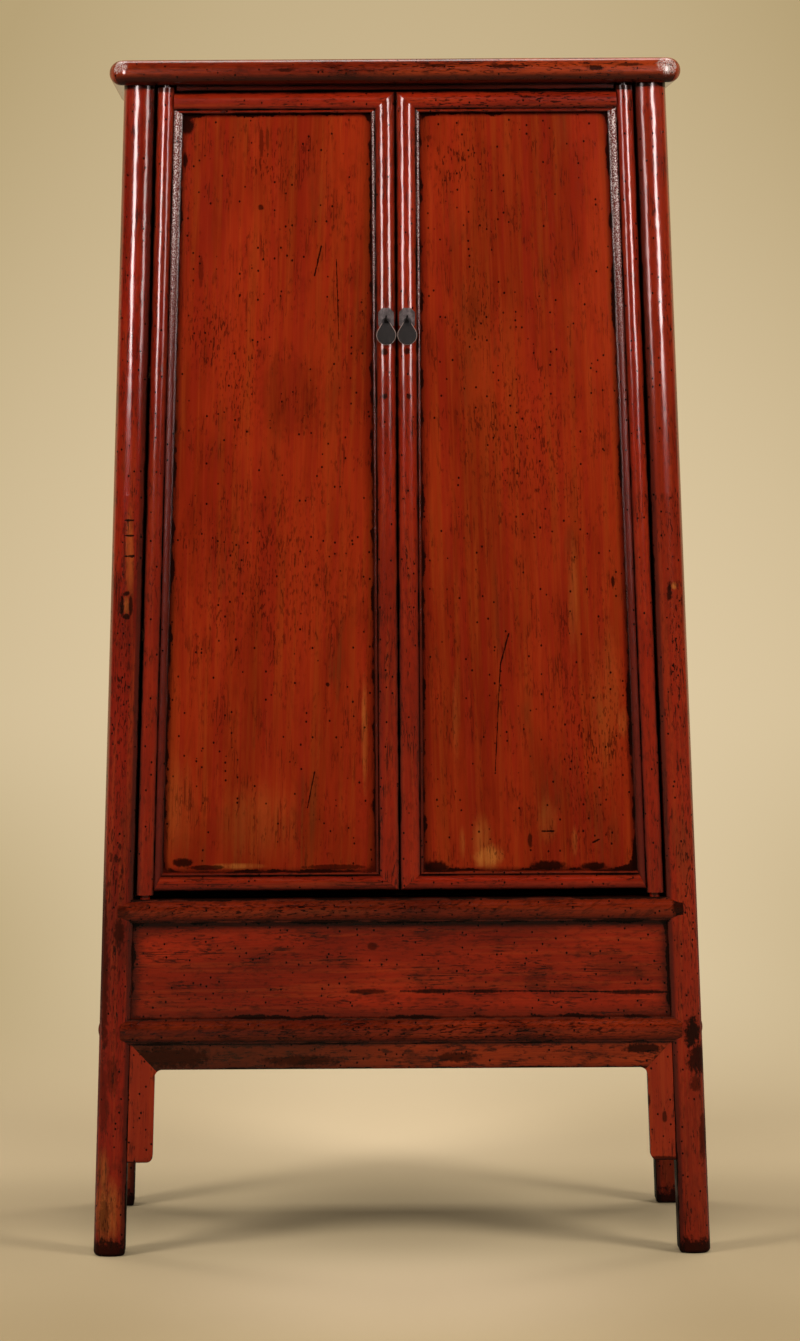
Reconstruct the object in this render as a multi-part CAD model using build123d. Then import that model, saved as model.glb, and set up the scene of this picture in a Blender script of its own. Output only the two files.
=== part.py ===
from build123d import *

import os
from dataclasses import dataclass
from math import sqrt

# A tapered round-corner cabinet, in millimetres. The origin is on the floor in the middle of the
# footprint, +Z is up, the doors face -Y and +X is to the right for someone facing the doors.
# Every face leans inwards. Each is drawn as if it were the front, from places across it (x), heights
# (z) and depths behind its outermost plane, and is then turned about Z into its own place.

# ---------------------------------------------------------------- overall size
total_height = 1850.0
foot_width = 956.0
foot_depth = 465.0
shoulder_width = 842.0
shoulder_depth = 401.0

# ---------------------------------------------------------------- top
top_thickness = 39.0
top_overhang = 22.0
top_corner_radius = 26.0
top_edge_flat = 0.6
top_rail_width = 78.0
top_panel_thickness = 14.0
top_panel_recess = 0.8
top_tongue_thickness = 7.0
top_tenon_width = 12.0
top_tenon_length = 30.0
top_tenon_inset = 5.0
top_batten_width = 36.0
top_batten_offset = 130.0
top_batten_clearance = 2.0
top_batten_tenon = 15.0

# ---------------------------------------------------------------- mouldings shared by all members
round_bulge = 5.0
quirk_width = 1.2
quirk_depth = 8.0
bead_crown = 3.6
bead_edge = 6.4
lip_depth = 7.4

# ---------------------------------------------------------------- legs
leg_width = 49.0
leg_crown = 26.0
leg_fall = 8.0
leg_corner_radius = 12.0
leg_arris = 4.0
leg_tenon_size = 20.0
leg_tenon_length = 25.0
foot_round = 6.0

# ---------------------------------------------------------------- joints between fixed members
tenon_front = 14.0
tenon_thickness = 12.0
tenon_length = 22.0
tenon_shoulder = 4.0
tongue_width = 8.0

# ---------------------------------------------------------------- stretchers, aprons, fixed panels
apron_clearance = 287.0
apron_height = 40.0
apron_front = 7.0
apron_thickness = 18.0
spandrel_width = 39.0
spandrel_clearance = 144.0
spandrel_inner_radius = 12.0
spandrel_foot_radius = 10.0
lower_stretcher_height = 38.5
lower_stretcher_depth = 40.0
lower_stretcher_lap = 16.5
belly_height = 148.5
upper_stretcher_height = 36.0
upper_stretcher_depth = 64.0
upper_stretcher_lap = 25.0
stretcher_proud = 2.0
stretcher_bulge = 5.0
stretcher_lip = 3.5
stretcher_lip_step = 1.5
stretcher_lap_depth = 10.0
stretcher_end_radius = 12.0
panel_front = 14.0
panel_thickness = 10.0

# ---------------------------------------------------------------- back
back_recess = 3.0
back_panel_front = 12.0
muntin_width = 44.0
muntin_front = 6.0
muntin_thickness = 24.0
muntin_tenon_width = 20.0

# ---------------------------------------------------------------- inside
batten_width = 24.0
batten_height = 24.0
batten_tenon_front = 30.0
batten_tenon_thickness = 12.0
batten_tenon_length = 12.0
shelf_tops = [965.0, 1375.0]
shelf_thickness = 18.0
shelf_front = 38.0
shelf_back = 31.0
shelf_play = 1.5
floor_thickness = 14.0
floor_rebate = 12.0
floor_end_play = 4.0
floor_front_play = 3.0
floor_crossbar_play = 1.0
crossbar_width = 56.0
crossbar_height = 34.0
bottom_board_thickness = 14.0
bottom_board_lift = 14.0
bottom_board_edge = 34.0
leg_notch_play = 1.0

# ---------------------------------------------------------------- doors
door_thickness = 30.0
hinge_gap = 4.0
centre_gap = 3.0
stile_foot_gap = 7.0
rail_foot_gap = 13.0
stile_head_gap = 3.0
door_head_gap = 4.0
hinge_main = 25.0
hinge_bead = 10.0
hinge_lip = 3.3
meeting_main = 29.5
inner_bead = 5.3
top_rail_main = 25.5
bottom_rail_main = 22.0
door_panel_front = 13.0
door_panel_thickness = 9.0
door_tongue_thickness = 6.0
door_tenon_front = 20.5
door_tenon_thickness = 6.0
door_tenon_length = 14.0
meeting_tenon_length = 24.0
door_tenon_shoulder = 7.0
door_batten_count = 4
door_batten_height = 28.0
door_batten_thickness = 7.0
door_batten_tenon = 10.0
door_batten_shoulder = 1.0

# ---------------------------------------------------------------- pivots
pivot_inset = 13.0
pivot_depth = 14.0
pivot_radius = 7.5
pivot_length = 20.0
pivot_play = 0.06
pivot_end_play = 0.3
head_turn_radius = 15.0
head_turn_clearance = 1.0
door_sweep_clearance = 2.0

# ---------------------------------------------------------------- lintel
lintel_height = 8.0
lintel_front = 6.0
lintel_stop_gap = 0.5
lintel_stop_thickness = 12.0
lintel_stop_height = 24.0

# ---------------------------------------------------------------- pulls
pull_height = 1447.0
plate_width = 24.4
plate_height = 33.4
plate_thickness = 1.8
plate_corner = 6.5
wire_radius = 1.3
loop_radius = 4.5
loop_standoff = 6.0
shank_radius = 1.7
prong_length = 12.0
prong_thickness = 1.2
prong_width = 2.2
pendant_radius = 15.3
pendant_height = 41.1
pendant_tip_radius = 4.0
pendant_thickness = 3.0
pendant_bevel = 0.9
pendant_hole_radius = 3.2
pendant_bridge = 2.8
pendant_play = 0.6

# ---------------------------------------------------------------- heights and leans that follow
leg_height = total_height - top_thickness
width_lean = (foot_width - shoulder_width) / 2 / leg_height
depth_lean = (foot_depth - shoulder_depth) / 2 / leg_height
lower_stretcher_low = apron_clearance + apron_height
belly_low = lower_stretcher_low + lower_stretcher_height
belly_high = belly_low + belly_height
floor_level = belly_high + upper_stretcher_height
lintel_low = leg_height - lintel_height

top_half_width = shoulder_width / 2 + top_overhang
top_half_depth = shoulder_depth / 2 + top_overhang
top_panel_high = total_height - top_panel_recess
top_panel_low = top_panel_high - top_panel_thickness

stile_low = floor_level + stile_foot_gap
stile_high = leg_height - stile_head_gap
door_low = floor_level + rail_foot_gap
door_high = lintel_low - door_head_gap
opening_low = door_low + bottom_rail_main + quirk_width + inner_bead
opening_high = door_high - top_rail_main - quirk_width - inner_bead

hinge_stile_width = hinge_main + quirk_width + hinge_bead + hinge_lip
hinge_shoulder = hinge_main + quirk_width / 2
meeting_stile_width = meeting_main + quirk_width + inner_bead


@dataclass(frozen=True)
class Side:
    """One leaning face: how far it is turned about Z, and its half sizes at the floor."""

    turn: float
    half_span: float
    span_lean: float
    half_depth: float
    depth_lean: float


front = Side(0.0, foot_width / 2, width_lean, foot_depth / 2, depth_lean)
back = Side(180.0, foot_width / 2, width_lean, foot_depth / 2, depth_lean)
left = Side(-90.0, foot_depth / 2, depth_lean, foot_width / 2, width_lean)
right = Side(90.0, foot_depth / 2, depth_lean, foot_width / 2, width_lean)


# ================================================================ drawing helpers
def reach(side, height, inset):
    """Half the span of a face at a height, less an inset from the legs' outer sides."""
    return side.half_span - side.span_lean * height - inset


def depth_y(side, height, depth):
    """The y of a point at a height and a depth behind the face's outermost plane."""
    return -side.half_depth + side.depth_lean * height + depth


def flat_shape(place, start, *steps):
    """A flat face. A step is a point for a straight edge, or a pair (through, end) for an arc."""
    edges = []
    here = place(*start)
    for step in steps:
        if isinstance(step[0], tuple):
            through, there = place(*step[0]), place(*step[1])
            edges.append(Edge.make_three_point_arc(here, through, there))
        else:
            there = place(*step)
            edges.append(Edge.make_line(here, there))
        here = there
    edges.append(Edge.make_line(here, place(*start)))
    return Face(Wire(edges))


def plate(side, outline, shallow, deep):
    """A board that lies in the face: outline is (x, height) corners, between two depths."""
    corners = [Vector(x, depth_y(side, z, shallow), z) for x, z in outline]
    return Solid.extrude(Face(Wire.make_polygon(corners)), Vector(0, deep - shallow, 0))


def bar(side, profile, x_low, x_high):
    """A level member along the face: profile is a start and steps of (depth, height)."""
    section = flat_shape(lambda depth, z: Vector(x_low, depth_y(side, z, depth), z), *profile)
    return Solid.extrude(section, Vector(x_high - x_low, 0, 0))


def post(section, climb, low, high):
    """An upright whose horizontal section, drawn at floor level, slides along climb as it rises."""
    return Solid.extrude(section.moved(Location(climb * low)), climb * (high - low))


def span_outline(side, inset, low, high, rise=0.0):
    """Corners of the strip between the two legs' lines at an inset, between two heights."""
    wide, narrow = reach(side, low, inset), reach(side, high, inset)
    return [(-wide, low - rise), (wide, low - rise), (narrow, high + rise), (-narrow, high + rise)]


def near_edges(solid, direction, points, reach_limit=1.0):
    """The solid's edges along a direction whose middle, seen along it, is close to a point."""
    found = []
    for edge in solid.edges().filter_by(direction):
        middle = edge.center()
        for x, z in points:
            if abs(middle.X - x) < reach_limit and abs(middle.Z - z) < reach_limit:
                found.append(edge)
    return found


def placed(side, solid):
    """Turns a solid drawn as part of the front to its own face."""
    return solid.rotate(Axis.Z, side.turn)


def box_between(low, high):
    """A box from its lowest to its highest corner."""
    size = [b - a for a, b in zip(low, high)]
    middle = [(a + b) / 2 for a, b in zip(low, high)]
    return Solid.make_box(*size).moved(Location([m - s / 2 for m, s in zip(middle, size)]))


# ================================================================ legs
def leg_section():
    """The front left leg's section at the floor: a broad round on each of its two outer faces."""
    run = leg_width - leg_crown
    curve = (run * run + leg_fall * leg_fall) / (2 * leg_fall)
    corner = ((leg_crown + curve) - sqrt((leg_crown + curve) ** 2 - 2 * leg_crown**2)) / 2

    def place(across, inwards):
        return Vector(across - foot_width / 2, inwards - foot_depth / 2, 0)

    section = flat_shape(
        place,
        (leg_width, leg_width),
        (leg_width, leg_fall),
        ((leg_crown, 0.0), (corner, corner)),
        ((0.0, leg_crown), (leg_fall, leg_width)),
    )
    outer = section.vertices().sort_by_distance(place(corner, corner))[0]
    section = section.fillet_2d(leg_corner_radius, [outer])
    for x, y in ((leg_width, leg_fall), (leg_fall, leg_width)):
        inner = section.vertices().sort_by_distance(place(x, y))[0]
        section = section.fillet_2d(leg_arris, [inner])
    return section


def leg_blank():
    """The front left leg with its tenon, before the members that join it are cut in."""
    leg = post(leg_section(), Vector(width_lean, depth_lean, 1), 0, leg_height)
    leg = leg.fillet(foot_round, leg.edges().group_by(Axis.Z)[0])
    centre = Vector(leg_width / 2 - shoulder_width / 2, leg_width / 2 - shoulder_depth / 2, leg_height)
    half = Vector(leg_tenon_size / 2, leg_tenon_size / 2, 0)
    return leg + box_between(centre - half, centre + half + Vector(0, 0, leg_tenon_length))


# ================================================================ level members of a face
def stretcher(side, low, height, depth, lap):
    """A moulded rail between two legs: rounded ends lap over them and tenons go into them."""
    high, middle = low + height, low + height / 2
    lip = stretcher_bulge + stretcher_lip_step - stretcher_proud
    edge = stretcher_bulge - stretcher_proud
    moulding = [
        (lip, low),
        (lip, low + stretcher_lip),
        (edge, low + stretcher_lip),
        ((-stretcher_proud, middle), (edge, high - stretcher_lip)),
        (lip, high - stretcher_lip),
        (lip, high),
    ]
    body = bar(side, [(depth, low), *moulding, (depth, high)], -side.half_span, side.half_span)
    body = body & plate(side, span_outline(side, leg_width, low, high), -depth, 2 * depth)
    cover = bar(
        side,
        [(stretcher_lap_depth, low), *moulding, (stretcher_lap_depth, high)],
        -side.half_span,
        side.half_span,
    )
    outline = span_outline(side, leg_width - lap, low, high)
    ends = plate(side, outline, -depth, 2 * depth)
    ends = ends.fillet(stretcher_end_radius, near_edges(ends, Axis.Y, outline))
    return body + (cover & ends) + stretcher_tenons(side, low, high)


def plain_stretcher(side, low, height, depth):
    """A flat rail between two legs, set back from their face."""
    high = low + height
    body = plate(side, span_outline(side, leg_width, low, high), back_recess, depth)
    return body + stretcher_tenons(side, low, high)


def stretcher_tenons(side, low, high):
    """The slab whose two ends are the tenons of a rail between two legs."""
    outline = span_outline(side, leg_width - tenon_length, low + tenon_shoulder, high - tenon_shoulder)
    return plate(side, outline, tenon_front, tenon_front + tenon_thickness)


def floor_rebate_cut(side):
    """The step in an upper stretcher's inner edge that carries the floor boards."""
    low = floor_level - floor_thickness
    shallow = upper_stretcher_depth - floor_rebate
    return plate(side, span_outline(side, 0, low, floor_level + 1), shallow, upper_stretcher_depth + 1)


def fixed_panel(side, low, high, shallow):
    """A board between two legs and two rails, with a tongue into each of them."""
    outline = span_outline(side, leg_width - tongue_width, low, high, tongue_width)
    return plate(side, outline, shallow, shallow + panel_thickness)


def apron_set(side):
    """The apron and its two spandrels, cut apart along their mitres."""
    top = lower_stretcher_low
    outer_low = reach(side, spandrel_clearance, leg_width)
    outer_high = reach(side, top, leg_width)
    inner_low = outer_low - spandrel_width
    inner_high = reach(side, apron_clearance, leg_width) - spandrel_width
    outline = [
        (-outer_low, spandrel_clearance),
        (-outer_high, top),
        (outer_high, top),
        (outer_low, spandrel_clearance),
        (inner_low, spandrel_clearance),
        (inner_high, apron_clearance),
        (-inner_high, apron_clearance),
        (-inner_low, spandrel_clearance),
    ]
    whole = plate(side, outline, apron_front, apron_front + apron_thickness)
    crooks = near_edges(whole, Axis.Y, [outline[5], outline[6]])
    whole = whole.fillet(spandrel_inner_radius, crooks)
    toes = near_edges(whole, Axis.Y, [outline[4], outline[7]])
    whole = whole.fillet(spandrel_foot_radius, toes)
    past = 1.5
    mitre_x = outer_high + past * (inner_high - outer_high)
    mitre_z = top + past * (apron_clearance - top)
    region = [(-outer_high, top), (outer_high, top), (mitre_x, mitre_z), (-mitre_x, mitre_z)]
    wedge = plate(side, region, 0, 2 * apron_thickness)
    spandrels = (whole - wedge).solids().sort_by(Axis.X)
    return whole & wedge, spandrels[0], spandrels[1]


# ================================================================ inside members
def side_batten(side, top):
    """A batten on a side panel's inner face, tenoned into the two legs of that side."""
    low = top - batten_height
    shallow = panel_front + panel_thickness
    body = plate(side, span_outline(side, leg_width, low, top), shallow, shallow + batten_width)
    inset = leg_width - batten_tenon_length
    outline = span_outline(side, inset, low + tenon_shoulder, top - tenon_shoulder)
    tenons = plate(side, outline, batten_tenon_front, batten_tenon_front + batten_tenon_thickness)
    return body + tenons


def board_between_legs(half_width, front_y, back_y, low, high, leg_corner_x, leg_corner_y):
    """A level board with a square notch at each corner for the legs."""
    board = box_between((-half_width, front_y, low), (half_width, back_y, high))
    for x_sign in (-1, 1):
        for y_sign in (-1, 1):
            near_x, far_x = sorted((x_sign * leg_corner_x, x_sign * foot_width))
            near_y, far_y = sorted((y_sign * leg_corner_y, y_sign * foot_depth))
            board = board - box_between((near_x, near_y, low - 1), (far_x, far_y, high + 1))
    return board


def shelf(top):
    """A shelf that rests on the side battens, fitted round the legs."""
    wall = panel_front + panel_thickness + shelf_play
    return board_between_legs(
        reach(front, top, wall),
        depth_y(front, top, shelf_front),
        -depth_y(back, top, shelf_back),
        top - shelf_thickness,
        top,
        reach(front, top, leg_width + leg_notch_play),
        reach(left, top, leg_width + leg_notch_play),
    )


def bottom_board():
    """The floor of the belly compartment, let into the lower stretchers all round."""
    low = lower_stretcher_low + bottom_board_lift
    high = low + bottom_board_thickness
    return board_between_legs(
        reach(front, high, bottom_board_edge),
        depth_y(front, high, bottom_board_edge),
        -depth_y(back, high, bottom_board_edge),
        low,
        high,
        reach(front, high, leg_width + leg_notch_play),
        reach(left, high, leg_width + leg_notch_play),
    )


def crossbar_part(half_width, low, high, depth):
    """A block from the front to the back upper stretcher, ending at a depth behind each face."""
    outline = [(low, 1), (high, 1), (high, -1), (low, -1)]
    corners = [Vector(-half_width, sign * depth_y(front, z, depth), z) for z, sign in outline]
    return Solid.extrude(Face(Wire.make_polygon(corners)), Vector(2 * half_width, 0, 0))


def floor_crossbar():
    """The bar under the meeting ends of the two floor boards, stepped on both sides to carry them."""
    low = floor_level - crossbar_height
    ledge = floor_level - floor_thickness
    half = crossbar_width / 2
    body = crossbar_part(half, low, ledge, upper_stretcher_depth)
    body = body + crossbar_part(half - floor_rebate, ledge, floor_level, upper_stretcher_depth)
    tenon_depth = upper_stretcher_depth - batten_tenon_length
    return body + crossbar_part(half - floor_rebate, low + tenon_shoulder, ledge, tenon_depth)


def floor_board():
    """The left lift-out board of the floor."""
    inner = -(crossbar_width / 2 - floor_rebate + floor_crossbar_play)
    outer = -reach(front, floor_level, panel_front + panel_thickness + floor_end_play)
    edge = depth_y(front, floor_level, upper_stretcher_depth - floor_rebate + floor_front_play)
    return box_between((outer, edge, floor_level - floor_thickness), (inner, -edge, floor_level))


# ================================================================ back
def muntin():
    """The upright between the two back panels, tenoned into the stretcher and the top."""
    half, narrow = muntin_width / 2, muntin_tenon_width / 2
    deep = muntin_front + muntin_thickness
    body = plate(
        back,
        [(-half, floor_level), (half, floor_level), (half, leg_height), (-half, leg_height)],
        muntin_front,
        deep,
    )
    low, high = floor_level - batten_tenon_length, leg_height + batten_tenon_length
    outline = [(-narrow, low), (narrow, low), (narrow, high), (-narrow, high)]
    return body + plate(back, outline, back_panel_front, back_panel_front + panel_thickness)


def back_panel():
    """The tall panel on the +X side of the back as drawn, with a tongue on all four edges."""
    low, high = floor_level, leg_height
    inner = muntin_width / 2 - tongue_width
    inset = leg_width - tongue_width
    outline = [
        (inner, low - tongue_width),
        (reach(back, low, inset), low - tongue_width),
        (reach(back, high, inset), high + tongue_width),
        (inner, high + tongue_width),
    ]
    return plate(back, outline, back_panel_front, back_panel_front + panel_thickness)


# ================================================================ top
def top_slab():
    """The whole top as one block with its half-round edge."""
    outline = RectangleRounded(2 * top_half_width, 2 * top_half_depth, top_corner_radius)
    slab = extrude(Pos(0, 0, leg_height) * outline, top_thickness).solid()
    levels = slab.edges().group_by(Axis.Z)
    return slab.fillet((top_thickness - top_edge_flat) / 2, levels[0] + levels[-1])


def top_panel():
    """The board inside the top frame, with a tongue all round."""
    half_x, half_y = top_half_width - top_rail_width, top_half_depth - top_rail_width
    board = box_between((-half_x, -half_y, top_panel_low), (half_x, half_y, top_panel_high))
    wide_x, wide_y = half_x + tongue_width, half_y + tongue_width
    tongue_high = top_panel_low + top_tongue_thickness
    return board + box_between((-wide_x, -wide_y, top_panel_low), (wide_x, wide_y, tongue_high))


def top_rail_region(long_half, short_half, turn):
    """The mitred region of one rail of the top frame, drawn on the -Y side and then turned."""
    inner_long, inner_short = long_half - top_rail_width, short_half - top_rail_width
    corners = [
        Vector(-long_half, -short_half, leg_height - 1),
        Vector(long_half, -short_half, leg_height - 1),
        Vector(inner_long, -inner_short, leg_height - 1),
        Vector(-inner_long, -inner_short, leg_height - 1),
    ]
    region = Solid.extrude(Face(Wire.make_polygon(corners)), Vector(0, 0, top_thickness + 2))
    return region.rotate(Axis.Z, turn)


def top_side_tenon(x_sign, y_sign):
    """The tenon of a side rail that enters the front or back rail beside the mitre."""
    outer = top_half_width - top_rail_width + top_tenon_inset
    mitre_y = top_half_depth - top_rail_width + top_tenon_inset
    x_low, x_high = sorted((x_sign * outer, x_sign * (outer + top_tenon_width)))
    y_low, y_high = sorted((y_sign * (mitre_y - top_tenon_width), y_sign * (mitre_y + top_tenon_length)))
    high = leg_height + leg_tenon_length
    return box_between((x_low, y_low, high - top_tenon_width), (x_high, y_high, high))


def top_battens():
    """Two battens under the top panel, tenoned into the front and back rails."""
    half_y = top_half_depth - top_rail_width
    low = leg_height + top_batten_clearance
    battens = []
    for x in (-top_batten_offset, top_batten_offset):
        x_low, x_high = x - top_batten_width / 2, x + top_batten_width / 2
        body = box_between((x_low, -half_y, low), (x_high, half_y, top_panel_low))
        deep = half_y + top_batten_tenon
        tenon = box_between(
            (x_low + tenon_shoulder, -deep, low + tenon_shoulder),
            (x_high - tenon_shoulder, deep, top_panel_low - tenon_shoulder),
        )
        battens.append(body + tenon)
    return battens


# ================================================================ doors (the left one; the right is its mirror)
pivot_climb = Vector(width_lean, depth_lean, 1)
pivot_base = Vector(
    -reach(front, 0, leg_width + hinge_gap + pivot_inset), depth_y(front, 0, pivot_depth), 0
)


def pivot_cylinder(radius, low, high):
    """A cylinder about the left door's leaning pivot line, between two heights on it."""
    seat = Plane(pivot_base + pivot_climb * low, z_dir=pivot_climb)
    return Solid.make_cylinder(radius, pivot_climb.length * (high - low), seat)


def pivot_pins(radius_play, end_play):
    """The top and bottom pivots, or with some play their sockets."""
    radius = pivot_radius + radius_play
    upper = pivot_cylinder(radius, stile_high - 1, leg_height + pivot_length + end_play)
    lower = pivot_cylinder(radius, floor_level - pivot_length - end_play, stile_low + 1)
    return upper, lower


def member_profile(main, bead, lip):
    """A door member's section, from its outer edge (across) to its panel edge (depth is second)."""
    bead_start = main + quirk_width
    bead_end = bead_start + bead
    steps = [
        (0.0, round_bulge),
        ((main / 2, 0.0), (main, round_bulge)),
        (main, quirk_depth),
        (bead_start, quirk_depth),
        (bead_start, bead_edge),
        (((bead_start + bead_end) / 2, bead_crown), (bead_end, bead_edge)),
    ]
    if lip > 0:
        steps = steps + [(bead_end, lip_depth), (bead_end + lip, lip_depth)]
    return [(0.0, door_thickness), *steps, (bead_end + lip, door_thickness)]


def hinge_x(z, across):
    """The x of a line down the left door, measured in from the hinge stile's outer edge."""
    return -reach(front, z, leg_width + hinge_gap) + across


door_inner_x = -centre_gap / 2
opening_inner_x = door_inner_x - meeting_stile_width


def door_outline(grow=0.0):
    """Corners of the left door's panel opening, optionally grown on every side."""
    low, high = opening_low, opening_high
    return [
        (hinge_x(low, hinge_stile_width) - grow, low - grow),
        (opening_inner_x + grow, low - grow),
        (opening_inner_x + grow, high + grow),
        (hinge_x(high, hinge_stile_width) - grow, high + grow),
    ]


def door_region(outline):
    """A cutter right through the door's thickness."""
    return plate(front, outline, -door_thickness, 2 * door_thickness)


def door_panel():
    """The left door's board, with a thinner tongue all round."""
    deep = door_panel_front + door_panel_thickness
    board = plate(front, door_outline(), door_panel_front, deep)
    tongue_deep = door_panel_front + door_tongue_thickness
    return board + plate(front, door_outline(tongue_width), door_panel_front, tongue_deep)


def door_rail(outer, inner, hinge_side):
    """A door rail between its outer and inner edge; hinge_side is its end's corners at the stile."""
    away = 1 if inner > outer else -1
    main = abs(inner - outer) - quirk_width - inner_bead
    profile = member_profile(main, inner_bead, 0)
    swapped = [swap_profile(item, outer, away) for item in profile]
    whole = bar(front, swapped, -front.half_span, 0)
    region = [*hinge_side, (opening_inner_x, inner), (door_inner_x, outer)]
    rail = whole & door_region(region)
    low = min(outer, inner) + door_tenon_shoulder
    high = max(outer, inner) - door_tenon_shoulder
    start = hinge_main - door_tenon_length
    outline = [
        (hinge_x(low, start), low),
        (opening_inner_x + meeting_tenon_length, low),
        (opening_inner_x + meeting_tenon_length, high),
        (hinge_x(high, start), high),
    ]
    return rail + plate(front, outline, door_tenon_front, door_tenon_front + door_tenon_thickness)


def swap_profile(item, outer, away):
    """Turns a (across, depth) step of a profile into (depth, height) steps for a level member."""
    if isinstance(item[0], tuple):
        return tuple(swap_profile(point, outer, away) for point in item)
    across, depth = item
    return (depth, outer + away * across)


def hinge_stile():
    """The left door's hinge stile, whose turned ends are the pivots."""

    def place(across, depth):
        return Vector(hinge_x(0, across), depth_y(front, 0, depth), 0)

    section = flat_shape(place, *member_profile(hinge_main, hinge_bead, hinge_lip))
    stile = post(section, pivot_climb, stile_low, stile_high)
    bead_top = opening_high + quirk_width + inner_bead
    region = [
        (hinge_x(stile_low, 0) - 1, stile_low - 1),
        (hinge_x(stile_low, hinge_shoulder), stile_low - 1),
        (hinge_x(door_low, hinge_shoulder), door_low),
        (hinge_x(opening_low, hinge_stile_width), opening_low),
        (hinge_x(opening_high, hinge_stile_width), opening_high),
        (hinge_x(bead_top, hinge_shoulder), bead_top),
        (hinge_x(stile_high, hinge_shoulder), stile_high + 1),
        (hinge_x(stile_high, 0) - 1, stile_high + 1),
    ]
    stile = stile & door_region(region)
    around = 2 * door_thickness
    head = pivot_base + pivot_climb * door_high
    block = box_between(
        (head.X - around, head.Y - around, door_high), (head.X + around, head.Y + around, leg_height)
    )
    stile = stile - (block - pivot_cylinder(head_turn_radius, door_high - 1, leg_height))
    upper, lower = pivot_pins(0, 0)
    return stile + upper + lower


def meeting_stile():
    """The left door's stile beside the other door, mitred at both ends."""

    def place(across, depth):
        return Vector(door_inner_x - across, depth_y(front, 0, depth), 0)

    section = flat_shape(place, *member_profile(meeting_main, inner_bead, 0))
    stile = post(section, Vector(0, depth_lean, 1), door_low, door_high)
    region = [
        (door_inner_x, door_low),
        (door_inner_x, door_high),
        (opening_inner_x, opening_high),
        (opening_inner_x, opening_low),
    ]
    return stile & door_region(region)


def door_battens():
    """Battens across the back of the left door's panel, tenoned into both stiles."""
    pitch = (opening_high - opening_low) / door_batten_count
    shallow = door_panel_front + door_panel_thickness
    battens = []
    for index in range(door_batten_count):
        low = opening_low + (index + 0.5) * pitch - door_batten_height / 2
        high = low + door_batten_height
        body = batten_strip(low, high, 0, shallow, shallow + door_batten_thickness)
        tenons = batten_strip(
            low + tenon_shoulder,
            high - tenon_shoulder,
            door_batten_tenon,
            shallow + door_batten_shoulder,
            shallow + door_batten_thickness - door_batten_shoulder,
        )
        battens.append(body + tenons)
    return battens


def batten_strip(low, high, grow, shallow, deep):
    """A strip across the left door's opening, grown past both stiles' edges."""
    outline = [
        (hinge_x(low, hinge_stile_width) - grow, low),
        (opening_inner_x + grow, low),
        (opening_inner_x + grow, high),
        (hinge_x(high, hinge_stile_width) - grow, high),
    ]
    return plate(front, outline, shallow, deep)


def make_door():
    """The left door's six pieces by name, each cut to fit the others."""
    bead_top = opening_high + quirk_width + inner_bead
    panel = door_panel()
    top_rail = door_rail(
        door_high,
        opening_high,
        [
            (hinge_x(door_high, hinge_shoulder), door_high),
            (hinge_x(bead_top, hinge_shoulder), bead_top),
            (hinge_x(opening_high, hinge_stile_width), opening_high),
        ],
    )
    bottom_rail = door_rail(
        door_low,
        opening_low,
        [
            (hinge_x(door_low, hinge_shoulder), door_low),
            (hinge_x(opening_low, hinge_stile_width), opening_low),
        ],
    )
    top_rail, bottom_rail = top_rail - panel, bottom_rail - panel
    battens = door_battens()
    outer = hinge_stile().cut(panel, top_rail, bottom_rail, *battens)
    inner = meeting_stile().cut(panel, top_rail, bottom_rail, *battens)
    return {
        "hinge_stile": outer,
        "meeting_stile": inner,
        "top_rail": top_rail,
        "bottom_rail": bottom_rail,
        "panel": panel,
        "battens": Compound(battens),
    }


# ================================================================ pulls (the left one)
pull_x = door_inner_x - meeting_main / 2
pull_y = depth_y(front, pull_height, 0)
loop_centre = Vector(pull_x, pull_y - loop_standoff, pull_height)


def pull_plate():
    """The iron plate, bent to the stile's round face."""
    curve = (meeting_main**2 / 4 + round_bulge**2) / (2 * round_bulge)
    half, tall, cut = plate_width / 2, plate_height / 2, plate_corner
    inner_edge = curve - sqrt(curve**2 - half**2)
    outer_curve = curve + plate_thickness
    outer_edge = curve - sqrt(outer_curve**2 - half**2)

    def place(across, depth):
        return Vector(pull_x + across, depth_y(front, 0, depth), 0)

    section = flat_shape(
        place,
        (-half, inner_edge),
        ((0.0, 0.0), (half, inner_edge)),
        (half, outer_edge),
        ((0.0, -plate_thickness), (-half, outer_edge)),
    )
    low, high = pull_height - tall, pull_height + tall
    bent = post(section, Vector(0, depth_lean, 1), low, high)
    corners = [
        (pull_x - half + cut, low),
        (pull_x + half - cut, low),
        (pull_x + half, low + cut),
        (pull_x + half, high - cut),
        (pull_x + half - cut, high),
        (pull_x - half + cut, high),
        (pull_x - half, high - cut),
        (pull_x - half, low + cut),
    ]
    return bent & plate(front, corners, -door_thickness, door_thickness)


def pull_staple():
    """The split pin: a loop in front, a shank through the stile and two bent prongs behind it."""
    loop = Solid.make_torus(loop_radius, wire_radius, Plane(loop_centre, z_dir=(1, 0, 0)))
    start = loop_centre + Vector(0, loop_radius, 0)
    length = pull_y + door_thickness + prong_thickness - start.Y
    shank = Solid.make_cylinder(shank_radius, length, Plane(start, z_dir=(0, 1, 0)))
    half = prong_width / 2
    outline = [
        (pull_x - half, pull_height - prong_length),
        (pull_x + half, pull_height - prong_length),
        (pull_x + half, pull_height + prong_length),
        (pull_x - half, pull_height + prong_length),
    ]
    prongs = plate(front, outline, door_thickness, door_thickness + prong_thickness)
    return loop + shank + prongs


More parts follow.
